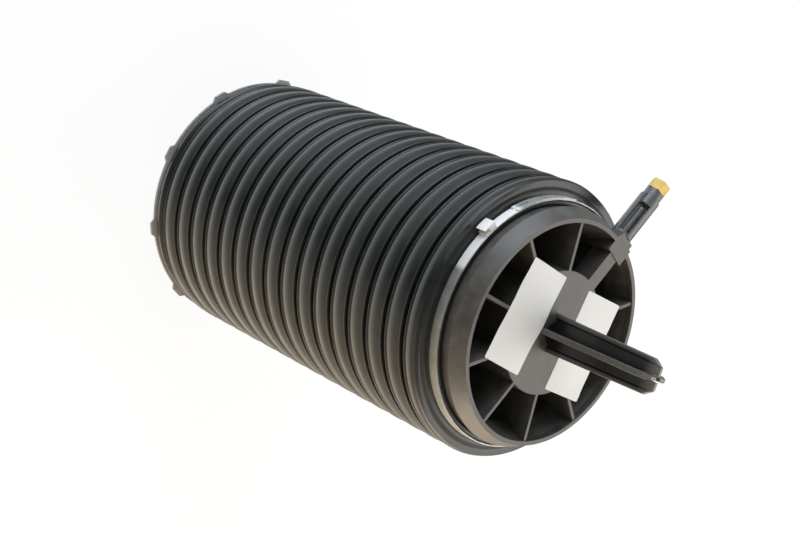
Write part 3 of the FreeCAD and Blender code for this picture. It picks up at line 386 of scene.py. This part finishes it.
# %% Close the wire and place the spring
bpy.ops.object.mode_set(mode="EDIT")
bpy.ops.mesh.select_all(action="DESELECT")
bpy.ops.mesh.select_non_manifold()
bpy.ops.mesh.edge_face_add()
bpy.ops.mesh.select_all(action="SELECT")
bpy.ops.mesh.normals_make_consistent(inside=False)
bpy.ops.transform.translate(value=(SPRING_START, 0, PORT_HEIGHT))
bpy.ops.object.mode_set(mode="OBJECT")
finish_piece(spring, smooth_angle=60)
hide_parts("check_valve_spring")
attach(spring, "upper")
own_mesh(spring)

# %% [markdown]
# ## The union's hexagon
# In the photograph an edge of the brass hexagon points at the camera, so two facets show. The
# packed union has a flat there. It is round apart from that hexagon, so a copy of it is turned
# about the port's axis, by a little less than half a facet. The copy drops the shading that
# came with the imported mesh, because that wouldn't turn along, and its loose triangles are
# merged.

# %% Turn a copy of the union
UNION_TURN = math.radians(23)
UNION_MERGE = 0.001 * MM
deselect_all()
union = bpy.data.objects.new("turned_brass_nut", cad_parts["union_nut"].data.copy())
bpy.context.collection.objects.link(union)
union.data.materials.clear()
union.select_set(True)
bpy.context.view_layer.objects.active = union
bpy.ops.mesh.customdata_custom_splitnormals_clear()
bpy.ops.object.mode_set(mode="EDIT")
bpy.ops.mesh.select_all(action="SELECT")
bpy.ops.mesh.remove_doubles(threshold=UNION_MERGE)
bpy.ops.transform.rotate(value=-UNION_TURN, orient_axis="X", orient_type="GLOBAL",
                         center_override=(0, 0, PORT_HEIGHT))
bpy.ops.object.mode_set(mode="OBJECT")
finish_piece(union, smooth_angle=30)
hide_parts("union_nut")
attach(union, "upper")

# %% [markdown]
# ## The labels
# Two plain paper labels lie on the hub and reach over the spokes. They are die-cut, so their
# corners are rounded. Paper is never quite flat: it sinks a little where nothing is under it,
# and it lifts beside the post. Each label starts as a grid at its real size. A few of its
# vertices are then moved with proportional editing, which takes the neighbours along and
# leaves soft waves. The vertices are picked by their place.

# %% Pick places on a sheet of paper
LABEL_LENGTH = 56.5 * MM
LABEL_WIDTH = 29.0 * MM
hub_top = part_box("near_hub_label")[0][2]


def select_nearest(piece, places):
    """Select the vertex nearest to each (x, y) place in millimetres."""
    bpy.ops.mesh.select_all(action="DESELECT")
    bpy.ops.object.mode_set(mode="OBJECT")
    spots = [Vector((x * MM, y * MM, hub_top)) for x, y in places]
    picked = {min(piece.data.vertices, key=lambda vertex: (vertex.co - spot).length).index
              for spot in spots}
    for vertex in piece.data.vertices:
        vertex.select = vertex.index in picked
    bpy.ops.object.mode_set(mode="EDIT")


def label_corners(turn, middle):
    """The four corners of a label, in millimetres, that is turned about its middle."""
    across = Vector((LABEL_LENGTH / MM / 2, 0, 0))
    along = Vector((0, LABEL_WIDTH / MM / 2, 0))
    turned = Matrix.Rotation(math.radians(turn), 3, "Z")
    return [(Vector((*middle, 0)) + turned @ (across * i + along * j)).xy
            for i in (-1, 1) for j in (-1, 1)]


print("hub", round(hub_top / MM, 1), "mm up")

# %% [markdown]
# The grid is fine enough for soft waves, at about one vertex a millimetre. Its four corner
# vertices are bevelled to round them. The wall grows upwards, so the paper's underside stays
# on the hub.

# %% Make a sheet of paper
LABEL_CELLS = (56, 28)
CORNER_RADIUS = 0.9 * MM
PAPER_THICKNESS = 0.15 * MM


def paper_label(name, turn, middle, pulls):
    """A grid of paper at its place on the hub, waved by pulls of (place, lift, reach)."""
    deselect_all()
    bpy.ops.mesh.primitive_grid_add(x_subdivisions=LABEL_CELLS[0], y_subdivisions=LABEL_CELLS[1],
                                    size=1, location=(middle[0] * MM, middle[1] * MM, hub_top),
                                    rotation=(0, 0, math.radians(turn)))
    piece = bpy.context.object
    piece.name = name
    piece.scale = (LABEL_LENGTH, LABEL_WIDTH, 1)
    bpy.ops.object.transform_apply(location=True, rotation=True, scale=True)
    bpy.ops.object.mode_set(mode="EDIT")
    bpy.ops.mesh.select_mode(type="VERT")
    select_nearest(piece, label_corners(turn, middle))
    bpy.ops.mesh.bevel(offset=CORNER_RADIUS, segments=4, affect="VERTICES")
    for place, lift, reach in pulls:
        select_nearest(piece, [place])
        bpy.ops.transform.translate(value=(0, 0, lift * MM), use_proportional_edit=True,
                                    proportional_edit_falloff="SMOOTH",
                                    proportional_size=reach * MM)
    give_wall(piece, PAPER_THICKNESS, OUTWARDS)
    finish_piece(piece, smooth_angle=60)
    return piece


print("label cells", LABEL_CELLS)

# %% [markdown]
# The near label lies on three spokes. It sinks between them, and its inner edge stands up a
# little beside the post. The far one is held flatter.

# %% Place the two labels
near_label = paper_label("near_paper_label", turn=16.9, middle=(7.36, -24.21), pulls=[
    ((3.1, -10.3), 0.8, 13), ((24.0, -33.0), -0.25, 9), ((-1.0, -41.5), -0.3, 9),
    ((-19.0, -37.5), 0.3, 12), ((37.0, -2.0), 0.3, 12)])
far_label = paper_label("far_paper_label", turn=21.1, middle=(-9.68, 25.10), pulls=[
    ((-4.5, 11.6), 0.6, 10), ((-22.0, 38.0), -0.25, 9), ((6.0, 40.5), -0.25, 9),
    ((12.0, 46.0), 0.3, 10)])
for piece, node in ((near_label, "near_hub_label"), (far_label, "far_hub_label")):
    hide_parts(node)
    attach(piece, "upper")

# %% [markdown]
# ## Helpers for materials
# Colours are written as sRGB hex, as a designer would pick them. One function turns them into
# the linear values that the shader works in, and another adds a node with its settings.

# %% Colour and node helpers
def linear(hex_text):
    """Turn an sRGB hex colour into linear RGBA."""
    parts = [int(hex_text[i:i + 2], 16) / 255 for i in (1, 3, 5)]
    bent = [p / 12.92 if p <= 0.04045 else ((p + 0.055) / 1.055) ** 2.4 for p in parts]
    return (*bent, 1.0)


def add(tree, kind, settings=None, links=None):
    """Add a node. Settings are inputs or properties by name, links are input: (node, output)."""
    node = tree.nodes.new("ShaderNode" + kind)
    for name, value in (settings or {}).items():
        if isinstance(name, str) and hasattr(node, name):
            setattr(node, name, value)
        else:
            node.inputs[name].default_value = value
    for name, (source, output) in (links or {}).items():
        tree.links.new(source.outputs[output], node.inputs[name])
    return node


print("mid grey", [round(part, 3) for part in linear("#808080")])

# %% [markdown]
# Each material is one Principled shader. The pattern sizes are real ones in millimetres: a
# noise node's scale is the number of its cells in a metre. A Mix node for colours takes its
# share, first and second colour at inputs 0, 6 and 7, and gives the colour at output 2.

# %% Start a material and plug it in
MIX_COLOUR = 2


def new_material(name, metallic=0.0, specular=0.5):
    """A material with its shader, and the coordinates that every pattern reads."""
    material = bpy.data.materials.new(name)
    material.use_nodes = True
    tree = material.node_tree
    shader = tree.nodes["Principled BSDF"]
    shader.inputs["Metallic"].default_value = metallic
    shader.inputs["Specular IOR Level"].default_value = specular
    return material, tree, shader, add(tree, "TexCoord")


def plug_in(tree, shader, tone, sheen, relief):
    """Link a colour, a roughness and a relief to the shader."""
    tree.links.new(tone.outputs[MIX_COLOUR], shader.inputs["Base Color"])
    tree.links.new(sheen.outputs["Result"], shader.inputs["Roughness"])
    tree.links.new(relief.outputs["Normal"], shader.inputs["Normal"])


def cloud_finish(tree, place, cloud_mm, dark, light, roughness):
    """Two tones and two roughnesses, shared out by the same soft clouds."""
    clouds = add(tree, "TexNoise", {"Scale": 1 / (cloud_mm * MM), "Detail": 5.0},
                 {"Vector": (place, "Object")})
    share = add(tree, "MapRange", {"From Min": 0.35, "From Max": 0.65},
                {"Value": (clouds, "Fac")})
    tone = add(tree, "Mix", {"data_type": "RGBA", 6: linear(dark), 7: linear(light)},
               {0: (share, "Result")})
    sheen = add(tree, "MapRange", {"To Min": roughness[0], "To Max": roughness[1]},
                {"Value": (share, "Result")})
    return tone, sheen


print("noise scale for 7 mm clouds", round(1 / (7 * MM), 1))

# %% [markdown]
# ## Moulded plastics
# The cap is polyamide with short glass fibres, moulded in a spark-eroded tool. That gives a
# dark warm grey with paler clouds where fibres come near the surface, a satin sheen that
# changes from place to place, and a fine grain. The post is the same plastic without fibres:
# darker and a little shinier. The port is given a lighter grey than the post, and is shinier
# than the cap. The base plate is painted a pale grey, much lighter than its glass-filled
# plastic: painted light for the light that its lugs catch from behind. The piston is black.
# The Bevel node rounds the light on edges that a mould leaves slightly round.

# %% Moulded plastic
def moulded_plastic(name, dark, light, roughness, cloud_mm, grain_mm, grain, edge_mm):
    """Clouds of two tones and two roughnesses, over a fine grain and slightly round edges."""
    material, tree, shader, place = new_material(name)
    tone, sheen = cloud_finish(tree, place, cloud_mm, dark, light, roughness)
    fine = add(tree, "TexNoise", {"Scale": 1 / (grain_mm * MM), "Detail": 2.0},
               {"Vector": (place, "Object")})
    edge = add(tree, "Bevel", {"samples": 3, "Radius": edge_mm * MM})
    relief = add(tree, "Bump", {"Strength": grain, "Distance": 0.05 * MM},
                 {"Height": (fine, "Fac"), "Normal": (edge, "Normal")})
    plug_in(tree, shader, tone, sheen, relief)
    return material


cap_nylon = moulded_plastic("glass_filled_nylon_cap", "#3d3b38", "#4c4a47",
                            roughness=(0.38, 0.5), cloud_mm=7, grain_mm=0.35, grain=0.3,
                            edge_mm=0.35)
post_nylon = moulded_plastic("black_nylon_post", "#191918", "#1e1e1d",
                             roughness=(0.27, 0.33), cloud_mm=14, grain_mm=0.5, grain=0.12,
                             edge_mm=0.1)
port_nylon = moulded_plastic("black_nylon_port", "#4e4f50", "#5b5b5c",
                             roughness=(0.26, 0.36), cloud_mm=5, grain_mm=0.4, grain=0.2,
                             edge_mm=0.3)
# The base plate's pale grey is painted light, for the light that its lugs catch from behind.
base_nylon_painted_light = moulded_plastic("glass_filled_nylon_base_painted_light", "#8f8e8b", "#9d9c98",
                             roughness=(0.42, 0.55), cloud_mm=8, grain_mm=0.35, grain=0.3,
                             edge_mm=0.3)
piston_nylon = moulded_plastic("glass_filled_nylon_piston", "#171716", "#232221",
                               roughness=(0.4, 0.55), cloud_mm=8, grain_mm=0.35, grain=0.3,
                               edge_mm=0.4)
print("plastics", cap_nylon.name, post_nylon.name, port_nylon.name)

# %% [markdown]
# The outer edges of the post's fins and its tip are painted a paler grey: a painted highlight
# for the light that their rounded edges catch. It is a pattern on the distance from the
# post's axis, and on the height near the tip. A noise breaks it up.

# %% Paint highlights on the post's fin edges and tip
HIGHLIGHT_FROM, HIGHLIGHT_FULL = 7.4 * MM, 9.4 * MM
TIP_FROM, TIP_FULL = 326 * MM, 335 * MM
tree = post_nylon.node_tree
shader = tree.nodes["Principled BSDF"]
moulded = shader.inputs["Base Color"].links[0].from_node
place = add(tree, "TexCoord")
flat = add(tree, "VectorMath", {"operation": "MULTIPLY", 1: (1.0, 1.0, 0.0)},
           {0: (place, "Object")})
reach = add(tree, "VectorMath", {"operation": "LENGTH"}, {0: (flat, "Vector")})
edges = add(tree, "MapRange", {"interpolation_type": "SMOOTHSTEP", "From Min": HIGHLIGHT_FROM,
                               "From Max": HIGHLIGHT_FULL, "To Max": 0.5},
            {"Value": (reach, "Value")})
high = add(tree, "SeparateXYZ", links={0: (place, "Object")})
tip = add(tree, "MapRange", {"interpolation_type": "SMOOTHSTEP", "From Min": TIP_FROM,
                             "From Max": TIP_FULL}, {"Value": (high, "Z")})
highlight_breakup = add(tree, "TexNoise", {"Scale": 1 / (0.8 * MM), "Detail": 3.0},
                {"Vector": (place, "Object")})
highlight_places = add(tree, "Math", {"operation": "MAXIMUM"}, {0: (edges, "Result"), 1: (tip, "Result")})
share = add(tree, "Math", {"operation": "MULTIPLY"}, {0: (highlight_places, "Value"), 1: (highlight_breakup, "Fac")})
# Painted highlight: a paler grey is mixed into the colour on the fin edges and the tip.
painted_edge_highlight = add(tree, "Mix", {"data_type": "RGBA", 7: linear("#8a8680")},
              {0: (share, "Value"), 6: (moulded, MIX_COLOUR)})
tree.links.new(painted_edge_highlight.outputs[MIX_COLOUR], shader.inputs["Base Color"])
print("painted_edge_highlight", post_nylon.name)

# %% [markdown]
# ## Rubbers
# The gaiter is moulded rubber with carbon black. A thin wax bloom dulls it in soft patches,
# and faint rings run round it where the tool was turned on a lathe. The sleeve is calendered,
# so it is duller, and the seals are small plain mouldings. At scale 1 the rings of a Wave
# node lie WAVE_PERIOD apart, so dividing that by their real distance gives the scale.

# %% Moulded rubber
WAVE_PERIOD = 0.314


def moulded_rubber(name, dark, light, roughness, bloom_mm, ring_mm):
    """Bloom in two tones and two roughnesses, over fine rings and grain."""
    material, tree, shader, place = new_material(name)
    tone, sheen = cloud_finish(tree, place, bloom_mm, dark, light, roughness)
    rings = add(tree, "TexWave", {"bands_direction": "Z", "Scale": WAVE_PERIOD / (ring_mm * MM),
                                  "Distortion": 0.6, "Detail": 2.0},
                {"Vector": (place, "Object")})
    grain = add(tree, "TexNoise", {"Scale": 1 / (0.45 * MM), "Detail": 2.0},
                {"Vector": (place, "Object")})
    both = add(tree, "Math", {"operation": "ADD"}, {0: (rings, "Fac"), 1: (grain, "Fac")})
    relief = add(tree, "Bump", {"Strength": 0.1, "Distance": 0.05 * MM},
                 {"Height": (both, "Value")})
    plug_in(tree, shader, tone, sheen, relief)
    return material


gaiter_rubber = moulded_rubber("moulded_gaiter_rubber", "#0e1110", "#161918",
                               roughness=(0.28, 0.36), bloom_mm=12, ring_mm=1.1)
sleeve_rubber = moulded_rubber("calendered_sleeve_rubber", "#111111", "#191919",
                               roughness=(0.5, 0.62), bloom_mm=8, ring_mm=1.4)
seal_rubber = moulded_rubber("moulded_seal_rubber", "#121212", "#1b1b1b",
                             roughness=(0.36, 0.5), bloom_mm=3, ring_mm=0.5)
print("rubbers", gaiter_rubber.name, sleeve_rubber.name, seal_rubber.name)

# %% [markdown]
# ## Metals
# The clamp is rolled stainless strip: bright, with fine streaks along the strip. The union is
# turned brass: warm, with fine rings round its axis. The guide tube is drawn aluminium, and
# springs are drawn steel wire, smoother than strip. A streak is drawn by stretching a noise:
# the coordinates are squeezed along the streak.

# %% Rolled, turned or drawn metal
def worked_metal(name, dark, light, roughness, streak_mm, squeeze, relief_depth, edge_mm):
    """Metal with streaks: squeeze gives each axis its share of the pattern's detail."""
    material, tree, shader, place = new_material(name, metallic=1.0)
    along = add(tree, "Mapping", {"Scale": squeeze}, {"Vector": (place, "Object")})
    streaks = add(tree, "TexNoise", {"Scale": 1 / (streak_mm * MM), "Detail": 4.0},
                  {"Vector": (along, "Vector")})
    stain = add(tree, "TexNoise", {"Scale": 1 / (6.0 * MM), "Detail": 2.0},
                {"Vector": (place, "Object")})
    share = add(tree, "MapRange", {"From Min": 0.3, "From Max": 0.7},
                {"Value": (stain, "Fac")})
    tone = add(tree, "Mix", {"data_type": "RGBA", 6: linear(dark), 7: linear(light)},
               {0: (share, "Result")})
    sheen = add(tree, "MapRange", {"From Min": 0.3, "From Max": 0.7, "To Min": roughness[0],
                                   "To Max": roughness[1]}, {"Value": (streaks, "Fac")})
    edge = add(tree, "Bevel", {"samples": 3, "Radius": edge_mm * MM})
    relief = add(tree, "Bump", {"Strength": relief_depth, "Distance": 0.02 * MM},
                 {"Height": (streaks, "Fac"), "Normal": (edge, "Normal")})
    plug_in(tree, shader, tone, sheen, relief)
    return material


stainless = worked_metal("rolled_stainless_strip", "#a9aaa8", "#babbb9",
                         roughness=(0.52, 0.64), streak_mm=0.3, squeeze=(0.12, 0.12, 1.0),
                         relief_depth=0.06, edge_mm=0.15)
brass = worked_metal("turned_brass_union", "#8c7741", "#a18b56",
                     roughness=(0.22, 0.3), streak_mm=0.5, squeeze=(1.0, 0.1, 0.1),
                     relief_depth=0.01, edge_mm=0.12)
aluminium = worked_metal("drawn_aluminium_tube", "#b9bbbd", "#cdcfd0",
                         roughness=(0.3, 0.42), streak_mm=0.5, squeeze=(1.0, 1.0, 0.1),
                         relief_depth=0.05, edge_mm=0.2)
spring_steel = worked_metal("drawn_spring_steel", "#a9a8a5", "#c0bfbb",
                            roughness=(0.25, 0.35), streak_mm=0.2, squeeze=(1.0, 1.0, 1.0),
                            relief_depth=0.03, edge_mm=0.05)
print("metals", stainless.name, brass.name, aluminium.name, spring_steel.name)

# %% [markdown]
# The clamp's lock is painted a brighter, whiter metal than the plain strip, within about 25 mm
# of the lock: a painted highlight for the light it catches. It is also rougher there.

# %% Paint a highlight on the clamp's lock
LOCK_PLACE = (-8 * MM, -67 * MM, 249 * MM)
LOCK_REACH, LOCK_FULL = 25 * MM, 21 * MM
tree = stainless.node_tree
shader = tree.nodes["Principled BSDF"]
rolled = shader.inputs["Base Color"].links[0].from_node
sheen = shader.inputs["Roughness"].links[0].from_node
place = add(tree, "TexCoord")
from_lock = add(tree, "VectorMath", {"operation": "DISTANCE", 1: LOCK_PLACE},
                {0: (place, "Object")})
near = add(tree, "MapRange", {"interpolation_type": "SMOOTHSTEP", "From Min": LOCK_REACH,
                              "From Max": LOCK_FULL}, {"Value": (from_lock, "Value")})
# Painted highlight: whiter metal is mixed in near the lock, by the share in near.
painted_lock_highlight = add(tree, "Mix", {"data_type": "RGBA", 7: linear("#f4f4f2")},
              {0: (near, "Result"), 6: (rolled, MIX_COLOUR)})
dulled = add(tree, "Mix", {"data_type": "FLOAT", 3: 0.74},
             {0: (near, "Result"), 2: (sheen, "Result")})
tree.links.new(painted_lock_highlight.outputs[MIX_COLOUR], shader.inputs["Base Color"])
tree.links.new(dulled.outputs[0], shader.inputs["Roughness"])
print("lock brightened on", stainless.name)

# %% [markdown]
# ## Paper and foam
# The labels are white coated paper, with a slight sheen: fibres cloud it very slightly. The
# bump stop is foamed polyurethane, dull and cream, with tiny cells.

# %% Coated paper and foam
def fibrous(name, dark, light, roughness, cloud_mm, cell_mm, depth):
    """Faint clouds of two tones, and cells or fibres that roughen the surface."""
    material, tree, shader, place = new_material(name, specular=0.4)
    clouds = add(tree, "TexNoise", {"Scale": 1 / (cloud_mm * MM), "Detail": 6.0},
                 {"Vector": (place, "Object")})
    tone = add(tree, "Mix", {"data_type": "RGBA", 6: linear(dark), 7: linear(light)},
               {0: (clouds, "Fac")})
    cells = add(tree, "TexNoise", {"Scale": 1 / (cell_mm * MM), "Detail": 2.0},
                {"Vector": (place, "Object")})
    sheen = add(tree, "MapRange", {"From Min": 0.3, "From Max": 0.7, "To Min": roughness[0],
                                   "To Max": roughness[1]}, {"Value": (cells, "Fac")})
    relief = add(tree, "Bump", {"Strength": depth, "Distance": 0.03 * MM},
                 {"Height": (cells, "Fac")})
    plug_in(tree, shader, tone, sheen, relief)
    return material


label_paper = fibrous("coated_paper_label", "#cdcfd0", "#d9dada",
                      roughness=(0.42, 0.55), cloud_mm=1.6, cell_mm=0.3, depth=0.2)
stop_foam = fibrous("microcellular_stop_foam", "#c9bf9c", "#d8cfb0",
                    roughness=(0.8, 0.95), cloud_mm=4, cell_mm=0.6, depth=0.8)
print("soft finishes", label_paper.name, stop_foam.name)

# %% [markdown]
# ## Dressing the pieces
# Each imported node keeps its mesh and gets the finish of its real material. The new pieces
# have no material yet, so theirs is added.

# %% Assign the finishes
FINISHES = {
    "top_cap": cap_nylon, "locating_post": post_nylon, "port_housing": port_nylon,
    "union_nut": brass, "base_plate": base_nylon_painted_light, "near_hub_label": label_paper,
    "far_hub_label": label_paper, "upper_gaiter_clamp": stainless,
    "tube_grip_ring": spring_steel, "check_valve_spring": spring_steel,
    "bump_stop_cup": stainless, "locating_bush": stainless, "check_valve_body": brass,
    "check_valve_poppet": brass, "poppet_seal": seal_rubber, "tube_seal_ring": seal_rubber,
    "base_seal_ring": seal_rubber, "air_sleeve": sleeve_rubber, "guide_tube": aluminium,
    "sleeve_upper_crimp_ring": aluminium, "sleeve_lower_crimp_ring": aluminium,
    "bump_stop": stop_foam, "piston": piston_nylon, "striker_plate": piston_nylon,
    "gaiter": gaiter_rubber,
}
NEW_PIECES = ((gaiter, gaiter_rubber), (sleeve, sleeve_rubber), (stop, stop_foam),
              (spring, spring_steel), (union, brass), (near_label, label_paper),
              (far_label, label_paper))
for name, finish in FINISHES.items():
    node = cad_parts[name]
    node.data.materials.clear()
    node.data.materials.append(finish)
for piece, finish in NEW_PIECES:
    piece.data.materials.append(finish)
print("dressed", len(FINISHES), "nodes and", len(NEW_PIECES), "new pieces")

# %% [markdown]
# ## Floor
# The photograph's ground is plain white with hardly a shadow. The floor is a pale matt plane,
# and most of what the camera sees of it is a plain white glow. The rest is the lit paint,
# which keeps the spring's soft shadow.
# In the photograph the spring lies on its side. So the room that its folds mirror is under
# this floor, and the floor is left out of what glossy rays see.

# %% Lay the floor
FLOOR_SIZE = 14
FLOOR_HEIGHT = -0.5 * MM
GLOW_SHARE = 0.9
deselect_all()
bpy.ops.mesh.primitive_plane_add(size=FLOOR_SIZE, location=(0, 0, FLOOR_HEIGHT))
floor = bpy.context.object
floor.name = "studio_floor"
floor.visible_glossy = False
floor_paint, tree, shader, place = new_material("matt_white_floor_paint")
speckle = add(tree, "TexNoise", {"Scale": 1 / (2.0 * MM)}, {"Vector": (place, "Object")})
tone = add(tree, "Mix", {"data_type": "RGBA", 6: linear("#f6f6f6"), 7: linear("#fafafa")},
           {0: (speckle, "Fac")})
tree.links.new(tone.outputs[MIX_COLOUR], shader.inputs["Base Color"])
shader.inputs["Roughness"].default_value = 0.9
rays = add(tree, "LightPath")
share = add(tree, "Math", {"operation": "MULTIPLY", 1: GLOW_SHARE}, {0: (rays, "Is Camera Ray")})
glow = add(tree, "Emission", {"Strength": 1.0})
mixed = add(tree, "MixShader", links={0: (share, "Value"), 1: (shader, "BSDF"),
                                      2: (glow, "Emission")})
tree.links.new(mixed.outputs["Shader"], tree.nodes["Material Output"].inputs["Surface"])
floor.data.materials.append(floor_paint)
print("floor", FLOOR_SIZE, "m wide")

# %% [markdown]
# ## Light
# The world is a dim room. One side of it glows warm and another cool, and a strong soft glow
# lies deep below, where the photographer's lamp was. Each fold is slightly crowned, so only
# its lower half mirrors that glow, as a broad band. Behind the camera the room is darker.
# Each glow is a round patch on the sky, measured with a dot product: the closer a direction is
# to the patch's middle, the brighter it is.
# Only camera rays see plain white instead. If mirrored rays saw white too, each fold would be
# a more even grey, its band of light weaker, and the warm tint below would fade.

# %% The room's glows
WARM_SIDE = (0.93, 0.37, 0.0)
COOL_SIDE = (-0.57, -0.82, 0.0)
STRAIGHT_DOWN = (0.0, 0.0, -1.0)
CAMERA_SIDE = (0.35, -0.88, 0.3)
ROOM_LEVEL = 0.45
SIDE_LEVEL = 0.85
world = bpy.data.worlds.new("white_studio")
bpy.context.scene.world = world
world.use_nodes = True
tree = world.node_tree
way = add(tree, "TexCoord")


def patch(middle, edge, full, strength):
    """A round glow on the sky, from nothing at its edge to its strength at its middle."""
    facing = add(tree, "VectorMath", {"operation": "DOT_PRODUCT", 1: middle},
                 {0: (way, "Generated")})
    return add(tree, "MapRange", {"interpolation_type": "SMOOTHSTEP", "From Min": edge,
                                  "From Max": full, "To Max": strength},
               {"Value": (facing, "Value")})


warm = patch(WARM_SIDE, edge=0.05, full=0.7, strength=1.0)
cool = patch(COOL_SIDE, edge=0.5, full=0.95, strength=1.0)
lamp_below = patch(STRAIGHT_DOWN, edge=0.6, full=0.95, strength=1.4)
dark_side = patch(CAMERA_SIDE, edge=0.6, full=0.95, strength=-0.35)
print("glows", len([node for node in tree.nodes if node.type == "MAP_RANGE"]))

# %% [markdown]
# The patches are added up to the room's level, and the warm one also tints it. A Mix Shader
# with Is Camera Ray then puts white in front of the camera's own rays.

# %% Add up the room and whiten the background
tint = add(tree, "Mix", {"data_type": "RGBA", 6: linear("#e4eaec"), 7: linear("#f8e8cf")},
           {0: (warm, "Result")})
sides = add(tree, "Math", {"operation": "ADD"}, {0: (warm, "Result"), 1: (cool, "Result")})
walls = add(tree, "Math", {"operation": "MULTIPLY_ADD", 1: SIDE_LEVEL, 2: ROOM_LEVEL},
            {0: (sides, "Value")})
lit = add(tree, "Math", {"operation": "ADD"}, {0: (walls, "Value"), 1: (lamp_below, "Result")})
level = add(tree, "Math", {"operation": "ADD"}, {0: (lit, "Value"), 1: (dark_side, "Result")})
room = tree.nodes["Background"]
tree.links.new(tint.outputs[MIX_COLOUR], room.inputs["Color"])
tree.links.new(level.outputs["Value"], room.inputs["Strength"])
white = add(tree, "Background", {"Color": (1, 1, 1, 1), "Strength": 1.0})
rays = add(tree, "LightPath")
seen = add(tree, "MixShader", links={0: (rays, "Is Camera Ray"), 1: (room, "Background"),
                                     2: (white, "Background")})
tree.links.new(seen.outputs["Shader"], tree.nodes["World Output"].inputs["Surface"])
print("world", world.name)

# %% [markdown]
# Three large soft lamps give the spring its form: a cool one beside the camera, a warm one
# low on the far side, and a pale one high behind the cap, which lights the hub and the labels.

# %% Soft panels
def soft_panel(name, place, aim, width, height, power, tint):
    """A large area lamp at a place in metres, turned to face its aim."""
    lamp_data = bpy.data.lights.new(name, "AREA")
    lamp_data.shape = "RECTANGLE"
    lamp_data.size = width
    lamp_data.size_y = height
    lamp_data.energy = power
    lamp_data.color = linear(tint)[:3]
    lamp = bpy.data.objects.new(name, lamp_data)
    bpy.context.collection.objects.link(lamp)
    lamp.location = place
    lamp.rotation_mode = "QUATERNION"
    lamp.rotation_quaternion = (Vector(aim) - Vector(place)).to_track_quat("-Z", "Y")
    print(name, power, "W")


soft_panel("cool_panel", place=(-0.95, -0.95, 0.5), aim=(0, 0, 0.22),
           width=1.1, height=0.8, power=15, tint="#e9f2ff")
soft_panel("warm_panel", place=(0.95, 0.75, 0.25), aim=(0, 0, 0.12),
           width=1.1, height=0.5, power=13, tint="#ffe8cc")
soft_panel("hub_panel", place=(-0.45, 1.0, 1.25), aim=(0, 0, 0.27),
           width=1.6, height=1.2, power=18, tint="#fff9f4")

# %% [markdown]
# ## Camera
# The photograph looks down at the cap with the camera turned on its side, so the spring seems
# to lie. Place, aim, roll and lens were worked out from the rim's ellipse and the post.

# %% Camera
CAMERA_PLACE = Vector((238.59, -599.94, 789.34)) * MM
CAMERA_AIM = Vector((0.84, 0.33, 142.76)) * MM
CAMERA_ROLL = math.radians(114.137)
camera_data = bpy.data.cameras.new("photo_camera")
camera_data.lens = 71.79
camera_data.sensor_width = 36
camera_data.clip_start = 0.01
camera = bpy.data.objects.new("photo_camera", camera_data)
bpy.context.collection.objects.link(camera)
aimed = (CAMERA_AIM - CAMERA_PLACE).to_track_quat("-Z", "Y")
camera.rotation_mode = "QUATERNION"
camera.rotation_quaternion = aimed @ Quaternion((0, 0, 1), CAMERA_ROLL)
camera.location = CAMERA_PLACE
bpy.context.scene.camera = camera
bpy.context.scene.view_settings.view_transform = "Standard"
print("camera", round((CAMERA_AIM - CAMERA_PLACE).length, 3), "m away")

# %% Finish
print("done")
